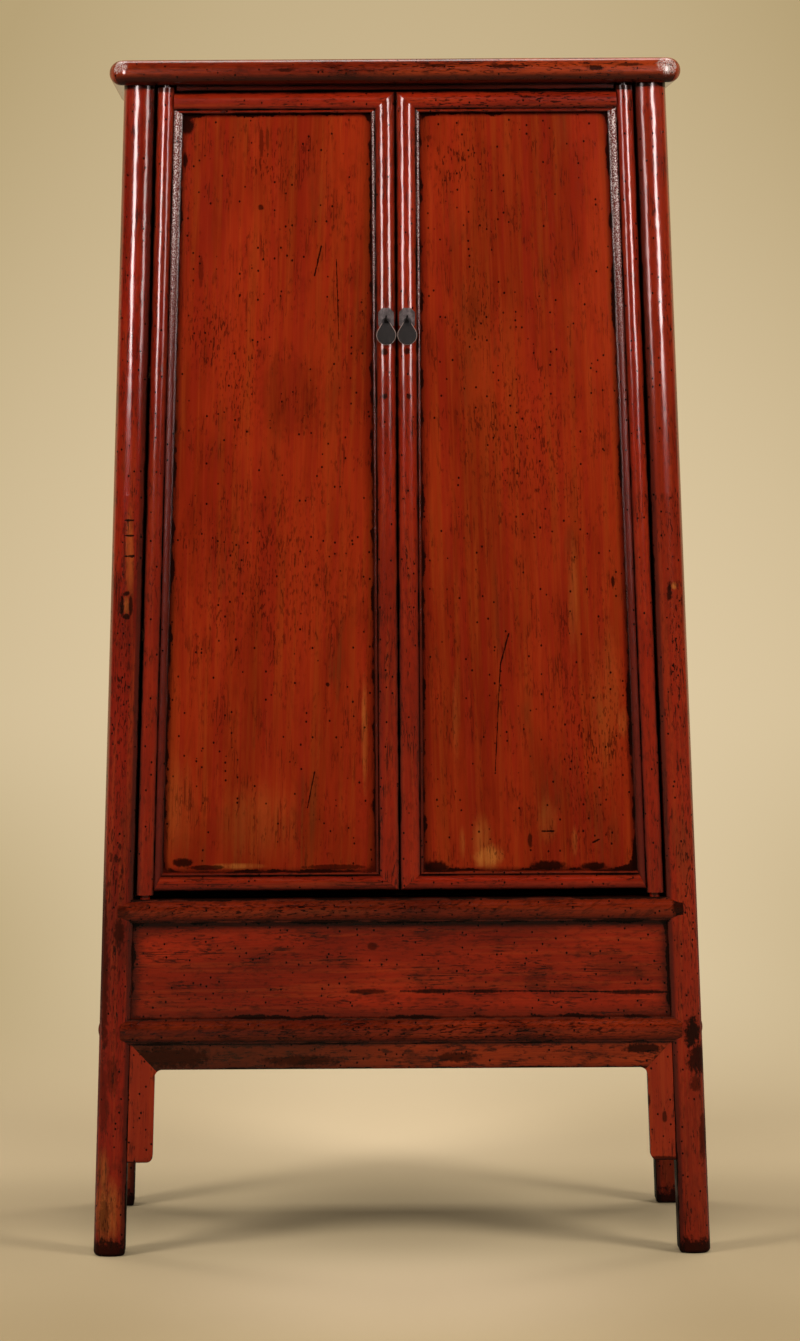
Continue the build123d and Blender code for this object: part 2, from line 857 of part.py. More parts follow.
def pull_pendant():
    """The drop: a flat teardrop that hangs by its hole from the loop."""
    hole_z = loop_centre.Z - loop_radius + wire_radius + pendant_play - pendant_hole_radius
    top_z = hole_z + pendant_hole_radius + pendant_bridge
    drop = pendant_height - pendant_radius - pendant_tip_radius
    round_end = Circle(pendant_radius)
    tip = Pos(0, drop) * Circle(pendant_tip_radius)
    outline = make_hull((round_end + tip).edges())
    hole = Pos(0, hole_z - top_z + drop + pendant_tip_radius) * Circle(pendant_hole_radius)
    facing = Plane(
        (pull_x, loop_centre.Y + pendant_thickness / 2, top_z - drop - pendant_tip_radius),
        x_dir=(1, 0, 0),
        z_dir=(0, -1, 0),
    )
    drop_solid = extrude(facing * (outline - hole), pendant_thickness).solid()
    face = drop_solid.faces().sort_by(Axis.Y)[0]
    return drop_solid.chamfer(pendant_bevel, None, face.outer_wire().edges())


# ================================================================ lintel
def lintel():
    """The strip under the top between the hinge stiles, with the stop that the doors close against."""
    high = leg_height
    strip_back = door_thickness + lintel_stop_gap
    reach_in = leg_width + hinge_gap + pivot_inset
    strip_half = reach(front, high, reach_in + head_turn_radius + head_turn_clearance)
    corner = sqrt(pivot_inset**2 + (door_thickness - pivot_depth) ** 2)
    stop_half = reach(front, high, reach_in + corner + door_sweep_clearance)
    strip = plate(
        front,
        [(-strip_half, lintel_low), (strip_half, lintel_low), (strip_half, high), (-strip_half, high)],
        lintel_front,
        strip_back,
    )
    low = high - lintel_stop_height
    stop = plate(
        front,
        [(-stop_half, low), (stop_half, low), (stop_half, high), (-stop_half, high)],
        strip_back,
        strip_back + lintel_stop_thickness,
    )
    return strip + stop


# ================================================================ putting it together
def mirrored(solid):
    """The same piece on the other side of the cabinet."""
    return solid.mirror(Plane.YZ)


def side_members(side):
    """The fixed pieces of one side of the cabinet."""
    panel = placed(side, fixed_panel(side, belly_low, leg_height, panel_front))
    rail = stretcher(
        side, lower_stretcher_low, lower_stretcher_height, lower_stretcher_depth, lower_stretcher_lap
    )
    tops = [floor_level - floor_thickness] + [top - shelf_thickness for top in shelf_tops]
    battens = [placed(side, side_batten(side, top)) for top in tops]
    apron, spandrel_a, spandrel_b = [placed(side, piece) for piece in apron_set(side)]
    return {
        "panel": panel,
        "lower_stretcher": placed(side, rail) - panel,
        "battens": battens,
        "apron": apron,
        "spandrels": [spandrel_a, spandrel_b],
    }


def carcass():
    """Every fixed piece by name, as solids or lists of solids."""
    pieces = {}
    board = bottom_board()

    belly = fixed_panel(front, belly_low, belly_high, panel_front)
    lower = stretcher(
        front, lower_stretcher_low, lower_stretcher_height, lower_stretcher_depth, lower_stretcher_lap
    )
    upper = stretcher(
        front, belly_high, upper_stretcher_height, upper_stretcher_depth, upper_stretcher_lap
    )
    crossbar = floor_crossbar()
    _, socket = pivot_pins(pivot_play, pivot_end_play)
    sockets = [socket, mirrored(socket)]
    pieces["front_belly_panel"] = belly
    pieces["front_lower_stretcher"] = lower.cut(belly, board)
    pieces["front_upper_stretcher"] = upper.cut(belly, crossbar, floor_rebate_cut(front), *sockets)
    apron, spandrel_left, spandrel_right = apron_set(front)
    pieces["front_apron"] = apron
    pieces["front_left_spandrel"] = spandrel_left
    pieces["front_right_spandrel"] = spandrel_right
    pieces["front_lintel"] = lintel()

    upright = placed(back, muntin())
    panel_a = placed(back, back_panel())
    panel_b = mirrored(panel_a)
    back_belly = placed(back, fixed_panel(back, belly_low, belly_high, back_panel_front))
    back_lower = plain_stretcher(
        back, lower_stretcher_low, lower_stretcher_height, lower_stretcher_depth
    )
    back_upper = plain_stretcher(back, belly_high, upper_stretcher_height, upper_stretcher_depth)
    back_upper = back_upper - floor_rebate_cut(back)
    pieces["back_left_panel"] = panel_a - upright
    pieces["back_right_panel"] = panel_b - upright
    pieces["back_muntin"] = upright.cut(pieces["back_left_panel"], pieces["back_right_panel"])
    pieces["back_belly_panel"] = back_belly
    pieces["back_lower_stretcher"] = placed(back, back_lower).cut(back_belly, board)
    pieces["back_upper_stretcher"] = placed(back, back_upper).cut(
        back_belly, panel_a, panel_b, upright, crossbar
    )
    outline = span_outline(back, leg_width, apron_clearance, lower_stretcher_low)
    back_apron = plate(back, outline, apron_front, apron_front + apron_thickness)
    pieces["back_apron"] = placed(back, back_apron)

    for name, side in (("left", left), ("right", right)):
        for member, solid in side_members(side).items():
            pieces[f"{name}_{member}"] = solid
        pieces[f"{name}_lower_stretcher"] = pieces[f"{name}_lower_stretcher"] - board

    pieces["bottom_board"] = board
    pieces["floor_crossbar"] = crossbar
    pieces["lower_shelf"] = shelf(shelf_tops[0])
    pieces["upper_shelf"] = shelf(shelf_tops[1])
    return pieces


def as_list(piece):
    return piece if isinstance(piece, list) else [piece]


def make_legs(pieces):
    """The four legs, each cut for the members of its two faces."""
    blank = leg_blank()
    rows = {"front": blank, "back": blank.mirror(Plane.XZ)}
    members = ["lower_stretcher", "upper_stretcher", "belly_panel", "left_panel", "right_panel"]
    side_names = ["lower_stretcher", "panel", "battens"]
    legs = {}
    for row, leg in rows.items():
        for column in ("left", "right"):
            solid = leg if column == "left" else mirrored(leg)
            tools = [pieces[f"{row}_{name}"] for name in members if f"{row}_{name}" in pieces]
            for name in side_names:
                tools = tools + as_list(pieces[f"{column}_{name}"])
            legs[f"{row}_{column}_leg"] = solid.cut(*tools)
    return legs


def make_top(pieces, legs):
    """The top frame, its panel and its battens."""
    slab, panel, battens = top_slab(), top_panel(), top_battens()
    socket, _ = pivot_pins(pivot_play, pivot_end_play)
    from_below = [pieces[name] for name in ("left_panel", "right_panel", "back_muntin")]
    from_below = from_below + [pieces["back_left_panel"], pieces["back_right_panel"]]
    tools = [panel, *battens, *legs.values(), *from_below, socket, mirrored(socket)]
    tenons = {"left": [top_side_tenon(-1, y) for y in (-1, 1)]}
    tenons["right"] = [top_side_tenon(1, y) for y in (-1, 1)]
    rails = {}
    for name, turn in (("front", 0), ("back", 180)):
        region = top_rail_region(top_half_width, top_half_depth, turn)
        rails[name] = (slab & region).cut(*tools, *tenons["left"], *tenons["right"])
    for name, turn in (("left", -90), ("right", 90)):
        region = top_rail_region(top_half_depth, top_half_width, turn)
        rails[name] = ((slab & region) + tenons[name]).cut(*tools)
    named = {f"top_{name}_rail": rail for name, rail in rails.items()}
    return {**named, "top_panel": panel, "top_battens": battens}


def make_doors():
    """Both doors with their pulls."""
    door = make_door()
    staple, pendant = pull_staple(), pull_pendant()
    door["meeting_stile"] = door["meeting_stile"] - staple
    pieces = {f"left_door_{name}": piece for name, piece in door.items()}
    pieces["left_pull_plate"] = pull_plate() - staple
    pieces["left_pull_staple"] = staple
    pieces["left_pull_pendant"] = pendant
    for name, piece in list(pieces.items()):
        pieces[name.replace("left_", "right_", 1)] = mirrored(piece)
    return pieces


def main():
    os.makedirs("parts", exist_ok=True)
    fixed = carcass()
    legs = make_legs(fixed)
    floor = {"left_floor_board": floor_board(), "right_floor_board": mirrored(floor_board())}
    pieces = {**make_top(fixed, legs), **legs, **fixed, **floor, **make_doors()}
    for name, piece in pieces.items():
        shape = Compound(piece) if isinstance(piece, list) else piece
        export_step(shape, f"parts/{name}.step")


main()
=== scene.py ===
import math
from dataclasses import dataclass
from typing import Callable

import bpy
from mathutils import Matrix, Vector


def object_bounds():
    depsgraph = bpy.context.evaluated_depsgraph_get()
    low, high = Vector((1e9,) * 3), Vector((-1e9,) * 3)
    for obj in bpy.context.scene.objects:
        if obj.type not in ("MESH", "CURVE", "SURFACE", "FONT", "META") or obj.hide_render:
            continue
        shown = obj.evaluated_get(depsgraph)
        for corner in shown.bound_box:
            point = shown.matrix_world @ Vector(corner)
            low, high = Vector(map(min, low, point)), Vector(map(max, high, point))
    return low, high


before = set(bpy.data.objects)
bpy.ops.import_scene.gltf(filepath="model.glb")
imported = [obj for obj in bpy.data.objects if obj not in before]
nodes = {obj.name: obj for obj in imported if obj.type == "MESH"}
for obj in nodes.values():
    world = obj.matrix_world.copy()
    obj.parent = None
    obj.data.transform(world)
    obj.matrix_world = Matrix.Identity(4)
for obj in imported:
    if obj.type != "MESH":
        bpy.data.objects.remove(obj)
cad_low, cad_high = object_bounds()

# ================================================================ sizes shared with the CAD, in metres
HALF_FOOT = 0.478
HALF_SHOULDER = 0.421
LEG = 0.049
TOP_THICKNESS = 0.039
SPANDREL_LOW = 0.144
APRON_LOW = 0.287
APRON = 0.04
LOWER_STRETCHER = 0.0385
BELLY = 0.1485
UPPER_STRETCHER = 0.036
LINTEL = 0.008

DOOR_FOOT_GAP = 0.013
DOOR_HEAD_GAP = 0.004
HINGE_GAP = 0.004
HALF_MIDDLE_GAP = 0.0015
BOTTOM_RAIL = 0.0285
TOP_RAIL = 0.032
HINGE_STILE = 0.0395
MEETING_STILE = 0.036
# the stiles' broad faces, up to the middle of their grooves, and the bead between groove and panel
HINGE_FACE = 0.0256
MEETING_FACE = 0.0301
BEAD = 0.006

SOFFIT = cad_high[2] - TOP_THICKNESS
LEAN = (HALF_FOOT - HALF_SHOULDER) / SOFFIT
APRON_TOP = APRON_LOW + APRON
BELLY_LOW = APRON_TOP + LOWER_STRETCHER
BELLY_TOP = BELLY_LOW + BELLY
FLOOR_LEVEL = BELLY_TOP + UPPER_STRETCHER
DOOR_LOW = FLOOR_LEVEL + DOOR_FOOT_GAP
DOOR_TOP = SOFFIT - LINTEL - DOOR_HEAD_GAP
PANEL_LOW = DOOR_LOW + BOTTOM_RAIL
PANEL_TOP = DOOR_TOP - TOP_RAIL

# distances from the middle; those of leaning members are taken at the floor
LEG_INNER = HALF_FOOT - LEG
STILE_OUTER = LEG_INNER - HINGE_GAP
HINGE_GROOVE = STILE_OUTER - HINGE_FACE
PANEL_OUTER = STILE_OUTER - HINGE_STILE
MEETING_GROOVE = HALF_MIDDLE_GAP + MEETING_FACE
PANEL_INNER = HALF_MIDDLE_GAP + MEETING_STILE


def rgb(red, green, blue):
    """A colour given as display values from 0 to 255, as the linear values the nodes take."""
    linear = []
    for value in (red, green, blue):
        c = value / 255
        linear.append(c / 12.92 if c <= 0.04045 else ((c + 0.055) / 1.055) ** 2.4)
    return (*linear, 1.0)


def paint(material, *names):
    """Puts a material in every slot of some of the CAD's pieces."""
    for name in names:
        for slot in nodes[name].material_slots:
            slot.material = material


# ================================================================ node graphs
class Graph:
    """A material's node tree, with short calls for the nodes it is made of."""

    def __init__(self, name):
        self.material = bpy.data.materials.new(name)
        self.material.use_nodes = True
        self.tree = self.material.node_tree
        self.tree.nodes.clear()
        self.shader = self.add("ShaderNodeBsdfPrincipled")
        self.output = self.add("ShaderNodeOutputMaterial")
        self.tree.links.new(self.shader.outputs["BSDF"], self.output.inputs["Surface"])
        self.place = self.add("ShaderNodeTexCoord").outputs["Object"]
        self.x, self.y, self.z = self.split(self.place)

    def add(self, kind, **settings):
        node = self.tree.nodes.new(kind)
        for key, value in settings.items():
            setattr(node, key, value)
        return node

    def wire(self, value, socket):
        """Links another node's output to a socket, or sets the socket to a plain value."""
        if isinstance(value, bpy.types.NodeSocket):
            self.tree.links.new(value, socket)
        else:
            socket.default_value = value

    def set(self, **sockets):
        """Sets or links inputs of the main shader; an underscore stands for a space."""
        for name, value in sockets.items():
            self.wire(value, self.shader.inputs[name.replace("_", " ")])

    # -------------------------------------------------------- numbers
    def math(self, operation, *values):
        node = self.add("ShaderNodeMath", operation=operation)
        for value, socket in zip(values, node.inputs):
            self.wire(value, socket)
        return node.outputs[0]

    def plus(self, a, b):
        return self.math("ADD", a, b)

    def minus(self, a, b):
        return self.math("SUBTRACT", a, b)

    def times(self, a, b):
        return self.math("MULTIPLY", a, b)

    def size(self, value):
        """The value without its sign."""
        return self.math("ABSOLUTE", value)

    def least(self, *values):
        low = values[0]
        for value in values[1:]:
            low = self.math("MINIMUM", low, value)
        return low

    def most(self, *values):
        high = values[0]
        for value in values[1:]:
            high = self.math("MAXIMUM", high, value)
        return high

    def soft_least(self, a, b, blend):
        """The smaller of two values, rounded off where they are nearly equal."""
        return self.math("SMOOTH_MIN", a, b, blend)

    def nearest(self, value, *lines):
        """How far a value is from the nearest of some lines."""
        return self.least(*[self.size(self.plus(value, -line)) for line in lines])

    def ramp(self, value, low, high, to_low=0.0, to_high=1.0):
        """A value smoothly mapped from low..high to to_low..to_high, and held outside it."""
        node = self.add("ShaderNodeMapRange", interpolation_type="SMOOTHSTEP")
        for item, socket in zip((value, low, high, to_low, to_high), node.inputs):
            self.wire(item, socket)
        return node.outputs[0]

    # -------------------------------------------------------- places
    def split(self, point):
        node = self.add("ShaderNodeSeparateXYZ")
        self.wire(point, node.inputs[0])
        return node.outputs

    def point(self, x, y, z):
        node = self.add("ShaderNodeCombineXYZ")
        for value, socket in zip((x, y, z), node.inputs):
            self.wire(value, socket)
        return node.outputs[0]

    def stretch(self, point, sizes, offset=(0.0, 0.0, 0.0)):
        """The point divided by a size along each axis, then moved; a size of 0 leaves its axis out."""
        node = self.add("ShaderNodeVectorMath", operation="MULTIPLY_ADD")
        self.wire(point, node.inputs[0])
        node.inputs[1].default_value = [1 / size if size else 0.0 for size in sizes]
        node.inputs[2].default_value = offset
        return node.outputs[0]

    def reach(self, point, centre, sizes):
        """Distance from a centre, counted in a size along each axis; a size of 0 leaves its axis out."""
        start = [-c / size if size else 0.0 for c, size in zip(centre, sizes)]
        node = self.add("ShaderNodeVectorMath", operation="LENGTH")
        self.wire(self.stretch(point, sizes, start), node.inputs[0])
        return node.outputs["Value"]

    # -------------------------------------------------------- patterns, colours and relief
    def noise(self, point, detail=3.0, rough=0.55, warp=0.0):
        node = self.add("ShaderNodeTexNoise")
        self.wire(point, node.inputs["Vector"])
        self.wire(1.0, node.inputs["Scale"])
        self.wire(detail, node.inputs["Detail"])
        self.wire(rough, node.inputs["Roughness"])
        self.wire(warp, node.inputs["Distortion"])
        return node.outputs["Fac"]

    def specks(self, point, low, high):
        """Round specks, 1 inside and 0 outside, one to a cell, and a random value for each cell."""
        node = self.add("ShaderNodeTexVoronoi")
        self.wire(point, node.inputs["Vector"])
        self.wire(1.0, node.inputs["Scale"])
        chance = self.add("ShaderNodeSeparateColor")
        self.wire(node.outputs["Color"], chance.inputs[0])
        speck = self.ramp(node.outputs["Distance"], low, high, 1.0, 0.0)
        return speck, chance.outputs[0]

    def mix(self, share, first, second):
        node = self.add("ShaderNodeMix", data_type="RGBA")
        self.wire(share, node.inputs["Factor"])
        self.wire(first, node.inputs[6])
        self.wire(second, node.inputs[7])
        return node.outputs[2]

    def bump(self, height, distance, normal=None):
        node = self.add("ShaderNodeBump")
        self.wire(height, node.inputs["Height"])
        self.wire(distance, node.inputs["Distance"])
        self.wire(1.0, node.inputs["Strength"])
        if normal is not None:
            self.wire(normal, node.inputs["Normal"])
        return node.outputs["Normal"]


# ================================================================ places on the members
def leaned(g):
    """The distance from the middle that a leaning front member would have at the floor."""
    return g.plus(g.size(g.x), g.times(g.z, LEAN))


def grain_point(g, run, seed):
    """The place on a member with its grain along z: run says which way the member goes."""
    if run == "up":
        return g.point(g.times(leaned(g), g.math("SIGN", g.x)), g.plus(g.y, seed), g.z)
    if run == "across":
        return g.point(g.z, g.plus(g.y, seed), g.x)
    return g.point(g.z, g.plus(g.x, seed), g.y)


def panel_edge(low, high, inner, outer):
    """Distance in metres to the nearest edge of a leaning opening on the front, round at its corners."""
    corner_blend = 0.026

    def distance(g):
        side = g.size(g.x)
        gap = g.minus(g.plus(g.times(g.z, -LEAN), outer), side)
        if inner is not None:
            gap = g.least(gap, g.plus(side, -inner))
        ends = g.least(g.plus(g.z, -low), g.minus(high, g.z))
        return g.soft_least(gap, ends, corner_blend)

    return distance


def upright_lines(*lines, top):
    """Distance in metres to the nearest groove of a leaning member of the front, or to its top."""
    return lambda g: g.least(g.nearest(leaned(g), *lines), g.minus(top, g.z))


def centre_lines(*lines):
    """Distance in metres to the nearest groove of the two members in the middle."""
    return lambda g: g.nearest(g.size(g.x), *lines)


def height_lines(*levels):
    """Distance in metres to the nearest of some heights."""
    return lambda g: g.nearest(g.z, *levels)


# ================================================================ lacquer
RED = rgb(150, 42, 15)
RED_DEEP = rgb(124, 31, 10)
ORANGE = rgb(172, 66, 24)
BROWN = rgb(92, 40, 16)
AMBER = rgb(186, 108, 44)
MURK = rgb(52, 12, 5)
SOOT = rgb(17, 6, 3)
BLOT = rgb(30, 10, 4)
STREAK_ORANGE = rgb(138, 54, 16)
STREAK_CRIMSON = rgb(138, 28, 16)
# painted highlight: the pale colour of glints on the stiles' beads
GLINT_PALE = rgb(226, 206, 200)
CHALK = rgb(206, 190, 184)


@dataclass
class Look:
    """How one member's lacquer has aged. A mark is its x, z, half width, half height and strength."""

    ground: tuple = RED
    low: tuple = RED_DEEP
    grain: float = 0.5  # fibres and growth rings that show through
    stain: float = 0.3  # dark clouds
    amber: float = 0.2  # long brown streaks
    streak: float = 0.0  # orange and crimson bands along the grain
    mottle: float = 0.0  # small dark blots
    slant: float = 0.0  # how far the blots lean across the grain
    pores: float = 1.0  # dark dashes and lines, in clusters
    holes: float = 0.5  # insect holes
    worn: tuple = ()  # marks rubbed down to the wood
    dark_spots: tuple = ()  # marks of black residue
    spot_rough: float = 1.2  # how ragged the black marks are
    pepper: tuple = ()  # marks filled with dark dashes
    chalk: tuple = ()  # marks of pale powder
    cracks: tuple = ()  # each a start, an end and a width
    zone: Callable = None  # zone(g) is a share of the surface and the colour that it takes
    dust: float = 0.0  # painted highlight: pale glinting grains on the upper part of the zone
    recess: Callable = None  # recess(g) is the distance in metres to the nearest groove or edge
    residue: float = 0.004  # width of the darkening beside the recess, partly grime and partly painted shade
    haze: float = 0.006  # width of the darkening beside the recess
    gloss: float = 1.0
    coat_rough: float = 0.155
    speckle: float = 0.0  # grains in the clear coat of the zone


class Lacquer(Graph):
    """Old red lacquer over wood, laid on in the order that the calls have in __init__."""

    def __init__(self, name, run, seed, look):
        super().__init__(name)
        self.look = look
        self.seed = seed
        self.wood = grain_point(self, run, seed)
        self.make_fields()
        self.lay_ground()
        if look.streak:
            self.lay_streaks()
        if look.worn:
            bare = self.marks(look.worn, edge=0.6, rough=0.8)
            self.tint(self.times(bare, self.ramp(self.figure, 0.3, 0.6, 0.35, 1.0)), AMBER)
        self.tint(self.times(self.ramp(self.fibre, 0.52, 0.8), 0.2 * look.grain), MURK)
        if look.mottle:
            self.blot()
        self.pit()
        self.bore_holes()
        if look.zone:
            self.zone_share, colour = look.zone(self)
            self.tint(self.zone_share, colour)
        self.glint_and_chalk()
        if look.recess:
            self.fill_recess()
        self.blacken()
        self.cover()

    def along(self, sizes, offset=(0.0, 0.0, 0.0), **settings):
        """Noise that follows the grain."""
        return self.noise(self.stretch(self.wood, sizes, offset), **settings)

    def around(self, sizes, offset=(0.0, 0.0, 0.0), **settings):
        """Noise that goes on from one member to the next."""
        return self.noise(self.stretch(self.place, sizes, offset), **settings)

    def tint(self, share, colour):
        self.tone = self.mix(share, self.tone, colour)

    def darken(self, share):
        self.dark = self.most(self.dark, share)

    def make_fields(self):
        """The patterns that more than one layer uses."""
        self.cloud = self.along((0.03, 0.03, 0.07), (7.1, 3.3, 1.7), detail=5.0, rough=0.65)
        self.figure = self.along((0.007, 0.007, 0.26), (2.7, 9.1, 4.2), warp=0.5)
        self.fibre = self.along((0.0016, 0.0016, 0.05), (1.3, 5.2, 8.8), detail=2.0)
        self.dash = self.along((0.0026, 0.0026, 0.011), (4.9, 1.2, 6.3), detail=2.0, rough=0.5)
        self.wave = self.along((0.02, 0.02, 0.06), (0.7, 6.1, 5.5), detail=2.0)
        self.ragged = self.around((0.006, 0.006, 0.009), detail=4.0, rough=0.65)
        self.grit = self.around((0.0016, 0.0016, 0.0024), detail=2.0)
        self.zone_share = 1.0

    def fray(self, width):
        """A ragged shift of a distance, to either side."""
        return self.times(self.plus(self.ragged, -0.5), width)

    def marks(self, spots, edge=0.3, rough=0.9):
        """Ragged patches on the front, as Look gives them."""
        fray = self.fray(rough)
        patches = []
        for x, z, wide, tall, strength in spots:
            far = self.plus(self.reach(self.place, (x, 0, z), (wide, 0, tall)), fray)
            patches.append(self.ramp(far, 1 - edge, 1 + edge, strength, 0.0))
        return self.most(*patches)

    def crack(self, start, end, width):
        """A thin broken line on the front between two places given as x and z."""
        along = (end[0] - start[0], end[1] - start[1])
        span = along[0] ** 2 + along[1] ** 2
        from_x, from_z = self.plus(self.x, -start[0]), self.plus(self.z, -start[1])
        dot = self.plus(self.times(from_x, along[0] / span), self.times(from_z, along[1] / span))
        share = self.least(self.most(dot, 0.0), 1.0)
        gap_x = self.plus(from_x, self.times(share, -along[0]))
        gap_z = self.plus(from_z, self.times(share, -along[1]))
        far = self.math("SQRT", self.plus(self.times(gap_x, gap_x), self.times(gap_z, gap_z)))
        far = self.plus(far, self.fray(width * 3.2))
        return self.ramp(far, width * 0.4, width * 1.3, 1.0, 0.0)

    # -------------------------------------------------------- layers
    def lay_ground(self):
        look = self.look
        broad = self.along((0.11, 0.11, 0.36))
        self.tone = self.mix(self.ramp(broad, 0.36, 0.64), look.low, look.ground)
        self.tint(self.times(self.ramp(self.figure, 0.45, 0.75), 0.28), ORANGE)
        rings = self.along((0.034, 0.034, 0.42), (0.4, 6.6, 3.1), detail=1.0)
        rings = self.math("SINE", self.times(rings, 95.0))
        self.tint(self.times(self.ramp(rings, 0.1, 1.0), 0.16 * look.grain), MURK)
        self.tint(self.times(self.ramp(self.cloud, 0.5, 0.78), look.stain), MURK)
        brown = self.along((0.045, 0.045, 0.2), (3.3, 0.4, 2.2))
        brown = self.times(self.ramp(brown, 0.55, 0.75), look.amber)
        self.tint(self.times(brown, self.ramp(self.figure, 0.35, 0.6)), BROWN)

    def lay_streaks(self):
        band = self.along((0.014, 0.014, 0.6), (6.1, 2.2, 0.5), detail=4.0, rough=0.6)
        self.tint(self.ramp(band, 0.5, 0.64, 0.0, self.look.streak), STREAK_ORANGE)
        self.tint(self.ramp(band, 0.38, 0.5, self.look.streak, 0.0), STREAK_CRIMSON)

    def blot(self):
        across, _, run = self.split(self.wood)
        slanted = self.point(self.plus(across, self.times(run, self.look.slant)), self.y, run)
        spots = self.noise(self.stretch(slanted, (0.0055, 0.03, 0.018)), detail=4.0, rough=0.62)
        self.tint(self.times(self.ramp(spots, 0.5, 0.66), self.look.mottle), BLOT)

    def pit(self):
        """Dark dashes and long lines of pores, crowded in clusters."""
        line = self.along((0.0017, 0.0017, 0.075), (8.2, 0.7, 2.9), detail=1.0, rough=0.4)
        flock = self.along((0.016, 0.016, 0.05), (5.5, 8.1, 0.9))
        crowd = self.plus(self.times(flock, 0.6), self.times(self.cloud, 0.4))
        crowd = self.ramp(crowd, 0.46, 0.6, 0.03, 1.0)
        pits = self.most(self.ramp(self.dash, 0.56, 0.63), self.ramp(line, 0.6, 0.66))
        self.pits = self.times(pits, crowd)
        self.tint(self.times(self.pits, 0.85 * self.look.pores), MURK)

    def bore_holes(self):
        cells = self.stretch(self.place, (0.009, 0.009, 0.011), (self.seed, 0, 0))
        hole, chance = self.specks(cells, 0.12, 0.22)
        rare = self.ramp(chance, 1 - 0.5 * self.look.holes, 1 - 0.45 * self.look.holes)
        self.dark = self.times(hole, rare)

    def glint_and_chalk(self):
        """Painted highlight as pale grains in the upper part of the zone, where the lamps' reflections
        fall, and chalky marks.
        """
        look = self.look
        if look.dust:
            dust = self.times(self.zone_share, self.ramp(self.grit, 0.5, 0.58))
            self.tint(self.times(dust, self.ramp(self.z, 1.35, 1.72, 0.0, look.dust)), GLINT_PALE)
        if look.chalk:
            chalk = self.marks(look.chalk, rough=2.0)
            self.tint(self.times(chalk, self.ramp(self.grit, 0.4, 0.58)), CHALK)

    def fill_recess(self):
        """Black residue in the grooves, thick in some places and gone in others, beside a soft darkening
        that is partly grime and partly painted shade.
        """
        look = self.look
        gap = look.recess(self)
        drift = self.around((0.05, 0.05, 0.05), (self.seed, 0, 3.3), detail=2.0)
        edge = self.plus(gap, self.fray(-2.2 * look.residue))
        edge = self.plus(edge, self.times(self.ramp(drift, 0.42, 0.68), -look.residue))
        # partly grime and partly painted shade: a soft darkening beside the recess
        self.tint(self.ramp(gap, 0.0, look.haze, 0.6, 0.0), MURK)
        left = self.ramp(drift, 0.4, 0.56, 0.4, 1.0)
        self.darken(self.times(self.ramp(edge, 0.0, 0.0018, 0.97, 0.0), left))

    def blacken(self):
        look = self.look
        if look.dark_spots:
            self.darken(self.marks(look.dark_spots, rough=look.spot_rough))
        if look.pepper:
            grains = self.ramp(self.dash, 0.55, 0.62)
            self.darken(self.times(self.marks(look.pepper, edge=0.8, rough=2.0), grains))
        for start, end, width in look.cracks:
            self.darken(self.crack(start, end, width))
        self.tint(self.times(self.dark, 0.95), SOOT)

    def cover(self):
        """The relief of the wood, and the clear coat over it, dull where residue lies."""
        look = self.look
        swell = self.bump(self.wave, 0.0005)
        relief = self.bump(self.fibre, 0.00005 * (0.5 + look.grain), normal=swell)
        sunk = self.times(self.most(self.dark, self.times(self.pits, 0.6)), -1.0)
        relief = self.bump(sunk, 0.0005, normal=relief)
        film = swell
        if look.speckle:
            film = self.bump(self.times(self.grit, self.zone_share), 0.0003 * look.speckle, normal=film)
        coat = self.times(self.ramp(self.dark, 0.2, 0.9, 1.0, 0.45), look.gloss)
        rough = self.ramp(self.cloud, 0.3, 0.75, 0.34, 0.48)
        self.set(Base_Color=self.tone, Roughness=rough, Normal=relief)
        self.set(Coat_Weight=coat, Coat_Roughness=look.coat_rough, Coat_Normal=film)
        self.set(Coat_IOR=1.6, Specular_IOR_Level=0.0)


def lacquer(name, run, seed, **look):
    """The lacquer of one kind of member. run is up, across or along, and the rest are fields of Look."""
    return Lacquer(name, run, seed, Look(**look)).material


# ---------------------------------------------------------------- door panels
def lacquer_door_panel(side, seed, **look):
    """Lacquers one door's panel; look holds what is its own."""
    recess = panel_edge(PANEL_LOW, PANEL_TOP, PANEL_INNER, PANEL_OUTER)
    common = dict(pores=0.62, streak=0.36, amber=0.7, gloss=0.12)
    edges = dict(recess=recess, residue=0.0045, haze=0.008)
    paint(lacquer(f"{side}_door_lacquer", "up", seed, **common, **edges, **look), f"{side}_door_panel")


lacquer_door_panel(
    "left",
    0.77,
    stain=0.35,
    worn=[
        (-0.053, 0.80, 0.004, 0.07, 0.55),
        (-0.2175, 0.666, 0.05, 0.05, 0.16),
        (-0.339, 0.687, 0.02, 0.07, 0.2),
        (-0.252, 0.600, 0.035, 0.004, 0.6),
    ],
    dark_spots=[
        (-0.322, 1.749, 0.01, 0.013, 0.97),
        (-0.3265, 1.696, 0.004, 0.012, 0.95),
        (-0.2078, 1.722, 0.0035, 0.022, 0.6),
        (-0.1985, 1.726, 0.0025, 0.018, 0.5),
        (-0.2094, 1.6212, 0.0045, 0.0045, 0.8),
        (-0.303, 1.523, 0.004, 0.022, 0.5),
        (-0.17, 1.33, 0.045, 0.06, 0.22),
        (-0.11, 0.8804, 0.003, 0.003, 0.9),
        (-0.335, 0.606, 0.016, 0.007, 0.95),
        (-0.2, 0.62, 0.19, 0.06, 0.16),
        (-0.3, 0.598, 0.03, 0.004, 0.9),
        (-0.1, 0.598, 0.05, 0.004, 0.8),
    ],
    pepper=[
        (-0.29, 1.42, 0.035, 0.05, 0.6),
        (-0.245, 1.36, 0.03, 0.07, 0.55),
        (-0.2, 1.69, 0.03, 0.03, 0.6),
        (-0.2, 1.05, 0.1, 0.1, 0.45),
    ],
    cracks=[
        ((-0.116, 1.56), (-0.1265, 1.515), 0.0014),
        ((-0.0925, 1.54), (-0.0895, 1.416), 0.0008),
        ((-0.131, 0.745), (-0.1425, 0.69), 0.0009),
    ],
)
